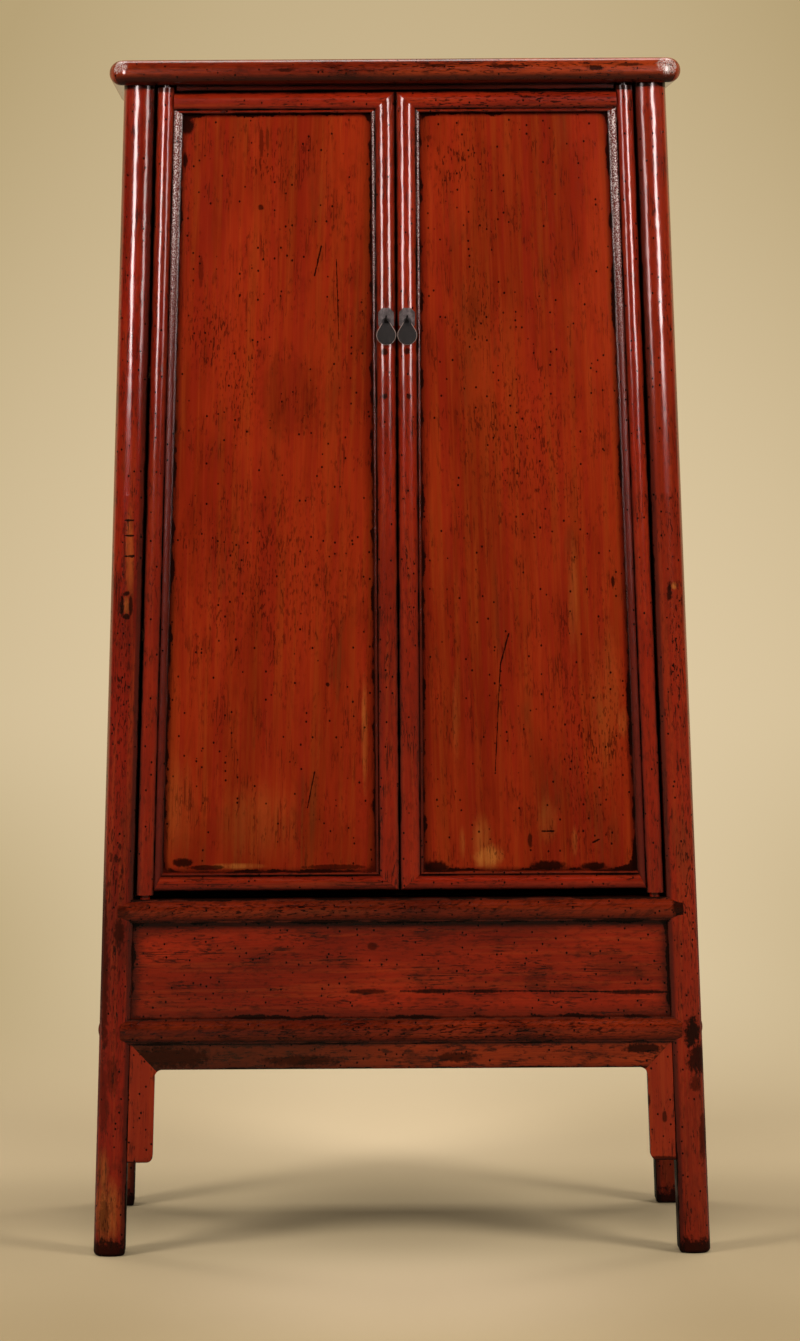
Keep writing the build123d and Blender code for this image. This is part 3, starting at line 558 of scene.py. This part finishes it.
lacquer_door_panel(
    "right",
    0.31,
    stain=0.25,
    worn=[
        (0.1368, 0.613, 0.018, 0.016, 0.85),
        (0.128, 0.64, 0.012, 0.03, 0.35),
        (0.2295, 0.6686, 0.012, 0.03, 0.22),
        (0.2712, 1.013, 0.006, 0.07, 0.22),
        (0.0889, 0.837, 0.005, 0.06, 0.2),
        (0.3469, 0.82, 0.006, 0.02, 0.35),
        (0.32, 0.85, 0.02, 0.1, 0.16),
        (0.271, 0.6346, 0.004, 0.02, 0.32),
        (0.0967, 0.6346, 0.004, 0.02, 0.28),
    ],
    dark_spots=[
        (0.2023, 0.637, 0.0035, 0.011, 0.8),
        (0.3334, 1.0369, 0.0028, 0.009, 0.9),
        (0.23, 0.598, 0.028, 0.0075, 0.97),
        (0.30, 0.597, 0.02, 0.006, 0.97),
        (0.055, 0.597, 0.02, 0.009, 0.97),
        (0.12, 1.46, 0.01, 0.03, 0.25),
    ],
    pepper=[
        (0.1, 1.69, 0.04, 0.03, 0.7),
        (0.12, 1.46, 0.02, 0.06, 0.6),
        (0.2, 1.25, 0.07, 0.1, 0.5),
        (0.3, 0.8, 0.05, 0.1, 0.5),
    ],
    cracks=[
        ((0.1713, 0.958), (0.158, 0.91), 0.0012),
        ((0.158, 0.91), (0.1555, 0.868), 0.001),
        ((0.1555, 0.868), (0.149, 0.745), 0.0008),
        ((0.221, 0.6512), (0.239, 0.6518), 0.0016),
        ((0.300, 0.634), (0.309, 0.638), 0.0014),
    ],
)

# ---------------------------------------------------------------- belly panel
belly = lacquer(
    "belly_lacquer",
    "across",
    0.2,
    ground=rgb(156, 37, 12),
    low=rgb(112, 22, 7),
    mottle=0.4,
    grain=0.8,
    stain=0.75,
    holes=1.0,
    recess=panel_edge(BELLY_LOW, BELLY_TOP, None, LEG_INNER),
    haze=0.026,
    dark_spots=[
        (0.05, 0.405, 0.035, 0.0035, 0.9),
        (0.13, 0.4045, 0.03, 0.003, 0.9),
        (0.36, 0.402, 0.05, 0.0035, 0.9),
        (0.33, 0.445, 0.03, 0.02, 0.3),
        (-0.043, 0.475, 0.008, 0.006, 0.7),
        (-0.052, 0.405, 0.03, 0.004, 0.8),
    ],
    cracks=[
        ((0.0, 0.4055), (0.2, 0.4045), 0.001),
        ((0.2, 0.4045), (0.421, 0.4015), 0.0014),
    ],
)
paint(belly, "front_belly_panel")


# ---------------------------------------------------------------- legs
def leg_side_painted_shade(g):
    """Painted shade: the side of a leg that turns in towards the door, away from the light, is darker and
    browner than its face.
    """
    return g.ramp(leaned(g), 0.4345, 0.4395, 0.7, 0.0), rgb(62, 18, 12)


def lacquer_legs(side, seed, foot_x, dark_spots, **look):
    """Lacquers the front and back leg of one side, black at the foot round foot_x; look is the rest."""
    foot = (foot_x, 0.0, 0.09, 0.024, 0.97)
    recess = upright_lines(LEG_INNER, top=SOFFIT - 0.0035)
    common = dict(holes=0.9, recess=recess, residue=0.0015, zone=leg_side_painted_shade, dark_spots=[foot, *dark_spots])
    material = lacquer(f"{side}_leg_lacquer", "up", seed, **common, **look)
    paint(material, f"front_{side}_leg", f"back_{side}_leg")


TICK_START, TICK_END, TICK_WIDTH = -0.4229, -0.4092, 0.0016
lacquer_legs(
    "left",
    0.1,
    -0.455,
    ground=rgb(138, 26, 9),
    low=rgb(100, 17, 6),
    mottle=0.35,
    stain=0.5,
    amber=0.7,
    worn=[
        (-0.455, 0.07, 0.02, 0.04, 0.55),
        (-0.462, 0.13, 0.008, 0.03, 0.4),
        (-0.4155, 1.086, 0.0054, 0.06, 0.3),
        (-0.421, 1.0053, 0.004, 0.012, 0.35),
    ],
    pepper=[
        (-0.43, 0.86, 0.014, 0.14, 0.8),
        (-0.44, 0.55, 0.018, 0.2, 0.7),
    ],
    cracks=[((TICK_START, level), (TICK_END, level), TICK_WIDTH) for level in (1.137, 1.1132, 1.0814)],
    dark_spots=[
        (-0.4143, 1.0053, 0.0026, 0.017, 0.9),
        (-0.4275, 1.0053, 0.0026, 0.017, 0.95),
        (-0.421, 1.0235, 0.006, 0.004, 0.95),
        (-0.421, 0.988, 0.006, 0.004, 0.95),
        (-0.4235, 1.09, 0.0016, 0.055, 0.6),
        (-0.46, 0.06, 0.008, 0.03, 0.6),
        (-0.447, 0.28, 0.01, 0.03, 0.5),
        (-0.4585, 0.44, 0.006, 0.13, 0.7),
        (-0.461, 0.25, 0.008, 0.06, 0.5),
        (-0.4355, 0.5, 0.008, 0.02, 0.8),
    ],
    spot_rough=2.0,
)
lacquer_legs(
    "right",
    0.6,
    0.455,
    ground=rgb(148, 34, 11),
    low=rgb(132, 33, 12),
    mottle=0.2,
    stain=0.4,
    amber=0.4,
    worn=[(0.4273, 1.0307, 0.0035, 0.005, 1.0)],
    pepper=[
        (0.4288, 0.93, 0.009, 0.1, 0.95),
        (0.425, 1.13, 0.008, 0.06, 0.7),
        (0.445, 0.6, 0.015, 0.15, 0.7),
    ],
    dark_spots=[
        (0.4498, 0.34, 0.012, 0.024, 1.0),
        (0.46, 0.3, 0.017, 0.024, 0.95),
        (0.455, 0.262, 0.008, 0.012, 0.7),
        (0.466, 0.18, 0.006, 0.04, 0.7),
        (0.4195, 1.0225, 0.0035, 0.012, 0.95),
    ],
    spot_rough=2.2,
)

# ---------------------------------------------------------------- door frames
STILE_RED = rgb(146, 32, 10)


def hinge_zone(g):
    """The beads between the hinge stile's groove and the panel."""
    return g.ramp(leaned(g), HINGE_GROOVE - 0.0009, HINGE_GROOVE, 0.75, 0.0), rgb(78, 25, 20)


def meeting_zone(g):
    """The bead between the meeting stile's groove and the panel."""
    share = g.ramp(g.size(g.x), MEETING_GROOVE - 0.0008, MEETING_GROOVE + 0.0002, 0.0, 0.65)
    return share, rgb(60, 16, 9)


hinge_stile = lacquer(
    "hinge_stile_lacquer",
    "up",
    0.45,
    ground=STILE_RED,
    low=rgb(120, 24, 8),
    mottle=0.3,
    # painted highlight on the beads
    dust=1.0,
    coat_rough=0.18,
    amber=0.3,
    holes=0.6,
    recess=upright_lines(STILE_OUTER, HINGE_GROOVE, PANEL_OUTER, top=DOOR_TOP + 0.003),
    residue=0.0007,
    haze=0.005,
    zone=hinge_zone,
    speckle=3.0,
)
meeting_stile = lacquer(
    "meeting_stile_lacquer",
    "up",
    0.05,
    ground=STILE_RED,
    low=rgb(122, 26, 8),
    mottle=0.3,
    # painted highlight on the bead
    dust=0.8,
    stain=0.25,
    amber=0.3,
    holes=0.7,
    recess=centre_lines(HALF_MIDDLE_GAP, MEETING_GROOVE, PANEL_INNER),
    residue=0.0008,
    haze=0.0055,
    dark_spots=[
        (-0.0187, 1.3957, 0.005, 0.005, 0.95),
        (0.0159, 1.3968, 0.005, 0.005, 0.95),
        (-0.0184, 1.3266, 0.0045, 0.0045, 0.95),
        (0.0179, 1.3266, 0.0042, 0.0042, 0.95),
    ],
    zone=meeting_zone,
    speckle=2.0,
)
rail = lacquer(
    "rail_lacquer",
    "across",
    0.9,
    ground=STILE_RED,
    low=rgb(124, 27, 9),
    mottle=0.25,
    stain=0.4,
    amber=0.3,
    holes=0.8,
    pepper=[(0.2, 1.783, 0.18, 0.013, 0.9)],
    recess=height_lines(PANEL_TOP, PANEL_TOP + BEAD, DOOR_TOP, PANEL_LOW, PANEL_LOW - BEAD, DOOR_LOW),
    residue=0.001,
)
for side in ("left", "right"):
    paint(hinge_stile, f"{side}_door_hinge_stile")
    paint(meeting_stile, f"{side}_door_meeting_stile")
    paint(rail, f"{side}_door_top_rail", f"{side}_door_bottom_rail")

# ---------------------------------------------------------------- lintel
# The lintel's dark ground is painted shade under the top's overhang.
lintel = lacquer(
    "lintel_lacquer",
    "across",
    0.35,
    ground=rgb(88, 17, 8),
    low=rgb(58, 11, 5),
    stain=0.5,
    gloss=0.4,
    recess=height_lines(SOFFIT, SOFFIT - LINTEL),
    residue=0.0008,
)
paint(lintel, "front_lintel")


# ---------------------------------------------------------------- front stretchers
def stretcher_zone(g):
    """The upper stretcher is darker than the lower one."""
    return g.ramp(g.z, 0.4, 0.5, 0.0, 0.22), rgb(30, 8, 3)


stretcher = lacquer(
    "stretcher_lacquer",
    "across",
    0.05,
    ground=rgb(136, 38, 12),
    low=rgb(88, 22, 7),
    grain=1.0,
    stain=0.85,
    amber=0.6,
    holes=1.0,
    mottle=0.5,
    slant=-0.45,
    pepper=[
        (-0.15, 0.533, 0.3, 0.012, 0.9),
        (0.1, 0.345, 0.4, 0.014, 0.8),
    ],
    zone=stretcher_zone,
    recess=height_lines(BELLY_TOP, FLOOR_LEVEL, APRON_TOP, BELLY_LOW),
    residue=0.0022,
    haze=0.009,
    dark_spots=[
        (0.4325, 0.5344, 0.011, 0.02, 0.95),
        (-0.43, 0.53, 0.01, 0.012, 0.6),
    ],
)
paint(stretcher, "front_upper_stretcher", "front_lower_stretcher")


# ---------------------------------------------------------------- aprons and spandrels
def apron_zone(g):
    """The left half of the apron is worn dark."""
    return g.ramp(g.x, -0.2, 0.12, 0.75, 0.0), rgb(50, 24, 10)


apron = lacquer(
    "apron_lacquer",
    "across",
    0.4,
    ground=rgb(190, 62, 20),
    low=rgb(136, 42, 13),
    mottle=0.8,
    grain=0.9,
    stain=0.9,
    amber=0.6,
    zone=apron_zone,
    holes=1.0,
    recess=height_lines(APRON_LOW, APRON_TOP),
    residue=0.002,
    haze=0.009,
    dark_spots=[
        (0.085, 0.304, 0.03, 0.007, 0.8),
        (0.375, 0.316, 0.03, 0.007, 0.95),
        (0.4, 0.3, 0.01, 0.006, 0.9),
        (-0.36, 0.306, 0.07, 0.016, 0.7),
        (-0.15, 0.3, 0.06, 0.008, 0.7),
    ],
    spot_rough=1.8,
)
paint(apron, "front_apron", "back_apron")

spandrel = lacquer(
    "spandrel_lacquer",
    "up",
    0.7,
    ground=rgb(156, 46, 18),
    low=rgb(138, 36, 14),
    grain=0.4,
    stain=0.25,
    amber=0.15,
    holes=1.0,
    recess=height_lines(SPANDREL_LOW),
    residue=0.0012,
    dark_spots=[
        (0.382, 0.236, 0.003, 0.01, 0.9),
        (0.407, 0.21, 0.004, 0.008, 0.8),
        (0.4, 0.146, 0.03, 0.004, 0.8),
    ],
)
paint(spandrel, "front_left_spandrel", "front_right_spandrel", "left_spandrels", "right_spandrels")


# ---------------------------------------------------------------- top
def top_edge_painted_shade(g):
    """Painted shade: the edge of the top is darker below its middle, on the underside that turns away
    from the light.
    """
    middle = SOFFIT + 0.013
    return g.ramp(g.z, middle - 0.0045, middle + 0.0045, 0.85, 0.0), rgb(44, 11, 5)


top = lacquer(
    "top_lacquer",
    "across",
    0.15,
    ground=rgb(152, 52, 18),
    low=rgb(108, 28, 9),
    mottle=0.45,
    grain=0.8,
    stain=0.8,
    amber=0.5,
    holes=1.0,
    zone=top_edge_painted_shade,
    dark_spots=[
        (0.06, 1.838, 0.02, 0.0025, 0.8),
        (0.17, 1.836, 0.022, 0.003, 0.9),
        (0.31, 1.833, 0.014, 0.004, 0.95),
        (0.36, 1.838, 0.02, 0.0025, 0.8),
        (-0.17, 1.832, 0.012, 0.003, 0.8),
    ],
    pepper=[(0.15, 1.836, 0.28, 0.009, 0.9)],
    spot_rough=2.0,
    chalk=[
        (0.422, 1.836, 0.014, 0.012, 0.95),
        (-0.43, 1.84, 0.014, 0.01, 0.7),
    ],
)
paint(top, "top_front_rail", "top_back_rail")

top_board = lacquer(
    "top_board_lacquer",
    "across",
    0.85,
    ground=rgb(138, 42, 16),
    low=rgb(98, 28, 11),
    grain=0.9,
    stain=0.6,
    amber=0.4,
    holes=0.7,
)
paint(top_board, "top_panel")

# ---------------------------------------------------------------- sides
side_rail = lacquer(
    "top_side_lacquer",
    "along",
    0.55,
    ground=rgb(134, 44, 20),
    low=rgb(92, 28, 13),
    grain=1.0,
    stain=0.7,
    amber=0.4,
)
side_panel = lacquer("side_lacquer", "up", 0.25, stain=0.35, amber=0.35, holes=0.6)
for side in ("left", "right"):
    paint(side_rail, f"top_{side}_rail", f"{side}_lower_stretcher", f"{side}_apron")
    paint(side_panel, f"{side}_panel")


# ================================================================ bare wood
INSIDE_LIGHT, INSIDE_DARK = rgb(128, 92, 58), rgb(84, 54, 32)
BACK_LIGHT, BACK_DARK = rgb(98, 52, 28), rgb(56, 26, 14)


def bare_wood(name, run, seed, light, dark):
    """Unlacquered wood with its grain along the member."""
    g = Graph(name)
    wood = grain_point(g, run, seed)
    broad = g.noise(g.stretch(wood, (0.09, 0.09, 0.6)))
    figure = g.noise(g.stretch(wood, (0.008, 0.008, 0.3)), warp=0.8)
    fibre = g.noise(g.stretch(wood, (0.0012, 0.0012, 0.05)), detail=2.0)
    tone = g.mix(g.ramp(figure, 0.3, 0.7), dark, light)
    tone = g.mix(g.times(g.ramp(broad, 0.4, 0.7), 0.4), tone, dark)
    tone = g.mix(g.times(g.ramp(fibre, 0.5, 0.8), 0.45), tone, dark)
    g.set(Base_Color=tone, Roughness=0.7, Normal=g.bump(fibre, 0.0003))
    return g.material


inside = bare_wood("inside_wood", "across", 0.3, INSIDE_LIGHT, INSIDE_DARK)
inside_up = bare_wood("inside_upright_wood", "up", 0.6, INSIDE_LIGHT, INSIDE_DARK)
back_wood = bare_wood("back_wood", "up", 0.8, BACK_LIGHT, BACK_DARK)
back_belly_wood = bare_wood("back_rail_wood", "across", 0.1, BACK_LIGHT, BACK_DARK)
back_stretcher_wood = bare_wood("back_stretcher_wood", "across", 0.5, BACK_LIGHT, BACK_DARK)
paint(inside, "upper_shelf", "lower_shelf", "bottom_board", "floor_crossbar", "top_battens")
for side in ("left", "right"):
    paint(inside, f"{side}_floor_board", f"{side}_door_battens")
    paint(inside_up, f"{side}_battens")
paint(back_wood, "back_left_panel", "back_right_panel", "back_muntin")
paint(back_belly_wood, "back_belly_panel")
paint(back_stretcher_wood, "back_upper_stretcher", "back_lower_stretcher")

# ================================================================ iron
# the staple's eye, and the radius of the painted shade round it
PULL_EYE = (0.0168, 0, 1.442)
PULL_EYE_SHADE_RADIUS = 0.0058


def iron(name, low, high, rim):
    """Dark worn iron, with painted shade as a black disc round the staple's eye, and a painted rim colour
    where it turns from the viewer.
    """
    g = Graph(name)
    cloud = g.noise(g.stretch(g.place, (0.006, 0.006, 0.006)), detail=4.0, rough=0.6)
    pit = g.noise(g.stretch(g.place, (0.0012, 0.0012, 0.0012)))
    turned = g.add("ShaderNodeLayerWeight").outputs["Facing"]
    tone = g.mix(g.ramp(cloud, 0.35, 0.7), low, high)
    # painted highlight and shade: a rim colour by how far the surface turns from the viewer
    tone = g.mix(g.ramp(turned, 0.12, 0.4), tone, rim)
    # painted shade: a black disc round the staple's eye, where its hole looks dark
    eye_shade = g.reach(g.point(g.size(g.x), g.y, g.z), PULL_EYE, (PULL_EYE_SHADE_RADIUS, 0, PULL_EYE_SHADE_RADIUS))
    tone = g.mix(g.ramp(eye_shade, 0.9, 1.25, 0.97, 0.0), tone, rgb(9, 8, 8))
    g.set(Base_Color=tone, Metallic=0.2, Roughness=g.ramp(pit, 0.3, 0.7, 0.38, 0.6))
    g.set(Normal=g.bump(pit, 0.00025))
    return g.material


# The pendant's pale rim is a painted highlight, the plate's dark rim painted shade.
plate_iron = iron("plate_iron", rgb(62, 55, 55), rgb(98, 88, 88), rgb(50, 44, 43))
pendant_iron = iron("pendant_iron", rgb(19, 17, 16), rgb(28, 25, 23), rgb(190, 164, 154))
# The staple is near black, painted as the shade inside the eye.
staple_iron = iron("staple_iron", rgb(8, 7, 7), rgb(16, 14, 13), rgb(20, 18, 17))
for side in ("left", "right"):
    paint(plate_iron, f"{side}_pull_plate")
    paint(pendant_iron, f"{side}_pull_pendant")
    paint(staple_iron, f"{side}_pull_staple")


# ================================================================ studio
PAPER_BRIGHT = rgb(224, 203, 165)
PAPER_DIM = rgb(183, 162, 120)
FLOOR_NEAR = rgb(176, 156, 120)
FLOOR_FAR = rgb(202, 182, 147)
# painted light and shade on the floor
FLOOR_PAINTED_POOL = rgb(218, 197, 162)
FLOOR_PAINTED_SHADE = rgb(120, 104, 74)
FLOOR_PAINTED_SHADOW = rgb(100, 86, 60)
BOUNCE = (0.1, 0.085, 0.06, 1)
BLACK = (0, 0, 0, 1)


def wall_glow(g):
    """The wall's own light: brightest low down near the middle, dimmer upwards and to the sides."""
    bright_x = 0.19
    off = g.plus(g.x, -bright_x)
    fall = g.ramp(g.z, 0.5, 2.9, 0.03, 0.73)
    fall = g.plus(fall, g.times(g.times(off, off), g.ramp(g.z, 0.0, 0.6, 0.86, 0.26)))
    fall = g.plus(fall, g.plus(g.ramp(g.y, -3.0, -1.2, 1.0, 0.0), g.ramp(g.size(g.x), 1.8, 3.2)))
    return g.mix(g.least(fall, 1.0), PAPER_BRIGHT, PAPER_DIM)


def floor_tone(g):
    """The floor's colour with painted light and shade: a bright pool before and behind the cabinet, and
    painted shade towards the front, to the sides, beside and under it.
    """
    side = g.size(g.x)
    away = g.size(g.plus(g.y, -0.2))
    front = g.size(g.plus(g.y, 0.14))
    painted_pool = g.times(g.ramp(side, 0.05, 0.5, 1.0, 0.0), g.ramp(away, 0.2, 0.6))
    painted_pool = g.times(painted_pool, g.ramp(g.y, -0.95, -0.45, 0.3, 1.0))
    painted_flank_shade = g.times(g.ramp(side, 0.35, 0.65, 0.0, 0.16), g.ramp(front, 0.0, 0.4, 1.0, 0.0))
    tone = g.mix(g.ramp(g.y, -1.0, 0.2), FLOOR_NEAR, FLOOR_FAR)
    tone = g.mix(painted_pool, tone, FLOOR_PAINTED_POOL)
    tone = g.mix(g.ramp(side, 0.0, 0.8, 0.0, 0.14), tone, FLOOR_PAINTED_SHADE)
    tone = g.mix(painted_flank_shade, tone, FLOOR_PAINTED_SHADE)
    return g.mix(g.ramp(away, 0.0, 0.42, 0.3, 0.0), tone, FLOOR_PAINTED_SHADOW)


def studio_paper():
    """Pale paper: the floor takes the lamps and shadows over its painted light and shade, and the wall
    glows. Its back is clear.
    """
    g = Graph("studio_paper")
    wall = g.ramp(g.reach(g.place, (0, 0, 0), (1, 1, 0)), 1.0, 2.4)
    ray = g.add("ShaderNodeLightPath").outputs
    mirrored = g.times(g.ramp(g.z, 0.2, 0.6), g.ramp(g.y, 0.0, 1.5))
    seen = g.most(ray["Is Camera Ray"], g.times(ray["Is Glossy Ray"], mirrored))
    paper = g.mix(seen, BOUNCE, g.mix(wall, floor_tone(g), BLACK))
    g.set(Base_Color=paper, Roughness=0.9, Specular_IOR_Level=0.0)
    g.set(Emission_Color=wall_glow(g), Emission_Strength=g.times(seen, wall))
    either = g.add("ShaderNodeMixShader")
    g.wire(g.add("ShaderNodeNewGeometry").outputs["Backfacing"], either.inputs[0])
    g.wire(g.shader.outputs[0], either.inputs[1])
    g.wire(g.add("ShaderNodeBsdfTransparent").outputs[0], either.inputs[2])
    g.wire(either.outputs[0], g.output.inputs["Surface"])
    return g.material


def bowl():
    """A pale floor that curves up into a wall all round."""
    flat, wall, tall = 1.3, 6.5, 9.0
    bend_steps, turns = 32, 96
    profile = [(flat * share, 0.0) for share in (0.3, 0.6, 1.0)]
    bend = wall - flat
    for step in range(1, bend_steps + 1):
        turn = math.pi / 2 * step / bend_steps
        profile.append((flat + bend * math.sin(turn), bend - bend * math.cos(turn)))
    profile.append((wall, tall))
    points = [(0.0, 0.0, 0.0)]
    for k in range(turns):
        turn = 2 * math.pi * k / turns
        points += [(r * math.cos(turn), r * math.sin(turn), z) for r, z in profile]
    count = len(profile)
    faces = []
    for k in range(turns):
        this, after = 1 + k * count, 1 + (k + 1) % turns * count
        faces.append((0, this, after))
        faces += [(this + i, this + i + 1, after + i + 1, after + i) for i in range(count - 1)]
    mesh = bpy.data.meshes.new("studio_bowl")
    mesh.from_pydata(points, [], faces)
    mesh.polygons.foreach_set("use_smooth", [True] * len(faces))
    piece = bpy.data.objects.new("studio_bowl", mesh)
    bpy.context.scene.collection.objects.link(piece)
    piece.data.materials.append(studio_paper())


LAMP_WHITE = (1.0, 0.96, 0.9)
LAMP_PINK = (1.0, 0.85, 0.82)


def softbox(name, place, aim, size, power, glossy=False, diffuse=True, spread=180, colour=LAMP_WHITE):
    """A lamp of a width and height that shines from a place towards an aim, and isn't seen itself."""
    light = bpy.data.lights.new(name, "AREA")
    light.shape = "RECTANGLE"
    light.size, light.size_y = size
    light.energy = power
    light.color = colour
    light.spread = math.radians(spread)
    lamp = bpy.data.objects.new(name, light)
    lamp.location = place
    lamp.rotation_euler = (Vector(aim) - Vector(place)).to_track_quat("-Z", "Y").to_euler()
    lamp.visible_camera = False
    lamp.visible_glossy = glossy
    lamp.visible_diffuse = diffuse
    bpy.context.scene.collection.objects.link(lamp)


def lamps():
    """Most lamps give light and no reflection. The strips and the top glow give a reflection alone."""
    mirror = dict(glossy=True, diffuse=False)
    for side in (-1, 1):
        start, aim = (side * 0.95, -2.0, 2.05), (side * 0.35, 0, 2.05)
        softbox(f"key_{side}", (side * 3.0, -2.2, 2.7), (0, 0, 0.8), (1.0, 1.3), 88)
        softbox(f"strip_{side}", start, aim, (0.4, 1.2), 3.6, spread=60, colour=LAMP_PINK, **mirror)
        softbox(f"side_{side}", (side * 3.2, -0.4, 2.2), (0, 0, 0.9), (1.2, 1.8), 10)
        softbox(f"rim_{side}", (side * 2.9, 1.9, 2.0), (0, 0, 1.0), (1.0, 1.8), 24)
    softbox("front_fill", (0.0, -3.6, 3.3), (0, 0, 0.7), (2.0, 1.4), 46)
    softbox("overhead", (0.0, 0.9, 3.9), (0, 0.7, 0), (2.4, 1.2), 70)
    softbox("top_glow", (0.0, 0.5, 3.4), (0, -0.2, 1.85), (2.4, 0.7), 20, **mirror)


def air():
    """The world: faint warm light, fainter in reflections, with the paper's colour where it is seen."""
    faint, reflected = 0.12, 0.01
    world = bpy.data.worlds.new("studio_air")
    world.use_nodes = True
    tree = world.node_tree
    background = tree.nodes["Background"]
    ray = tree.nodes.new("ShaderNodeLightPath").outputs
    dim = tree.nodes.new("ShaderNodeMapRange")
    dim.inputs["To Min"].default_value = faint
    dim.inputs["To Max"].default_value = reflected
    tree.links.new(ray["Is Glossy Ray"], dim.inputs["Value"])
    strength = tree.nodes.new("ShaderNodeMapRange")
    tree.links.new(ray["Is Camera Ray"], strength.inputs["Value"])
    tree.links.new(dim.outputs[0], strength.inputs["To Min"])
    tree.links.new(strength.outputs[0], background.inputs["Strength"])
    tint = tree.nodes.new("ShaderNodeMix")
    tint.data_type = "RGBA"
    tree.links.new(ray["Is Camera Ray"], tint.inputs["Factor"])
    tint.inputs[6].default_value = (1.0, 0.95, 0.88, 1.0)
    tint.inputs[7].default_value = PAPER_DIM
    tree.links.new(tint.outputs[2], background.inputs["Color"])
    bpy.context.scene.world = world


def camera():
    """A level camera whose axis lies off the picture's centre. The picture's own sizes are in pixels."""
    place = (-0.175, -6.819, 1.322)
    wide, tall = 800, 1341
    focal, axis_u, axis_v = 4266.4, 284.1, 400.0
    roll = math.radians(-0.33)
    sensor = 36.0
    data = bpy.data.cameras.new("camera")
    data.sensor_width = sensor
    data.lens = sensor * focal / tall
    data.shift_x = (wide / 2 - axis_u) / tall
    data.shift_y = (axis_v - tall / 2) / tall
    data.clip_end = 60
    lens = bpy.data.objects.new("camera", data)
    bpy.context.scene.collection.objects.link(lens)
    right = Vector((math.cos(roll), 0, math.sin(roll)))
    up = Vector((-math.sin(roll), 0, math.cos(roll)))
    back = Vector((0, -1, 0))
    turn = Matrix((right, up, back)).transposed().to_4x4()
    lens.matrix_world = Matrix.Translation(place) @ turn
    bpy.context.scene.camera = lens


bowl()
lamps()
air()
camera()
bpy.context.scene.view_settings.view_transform = "Standard"
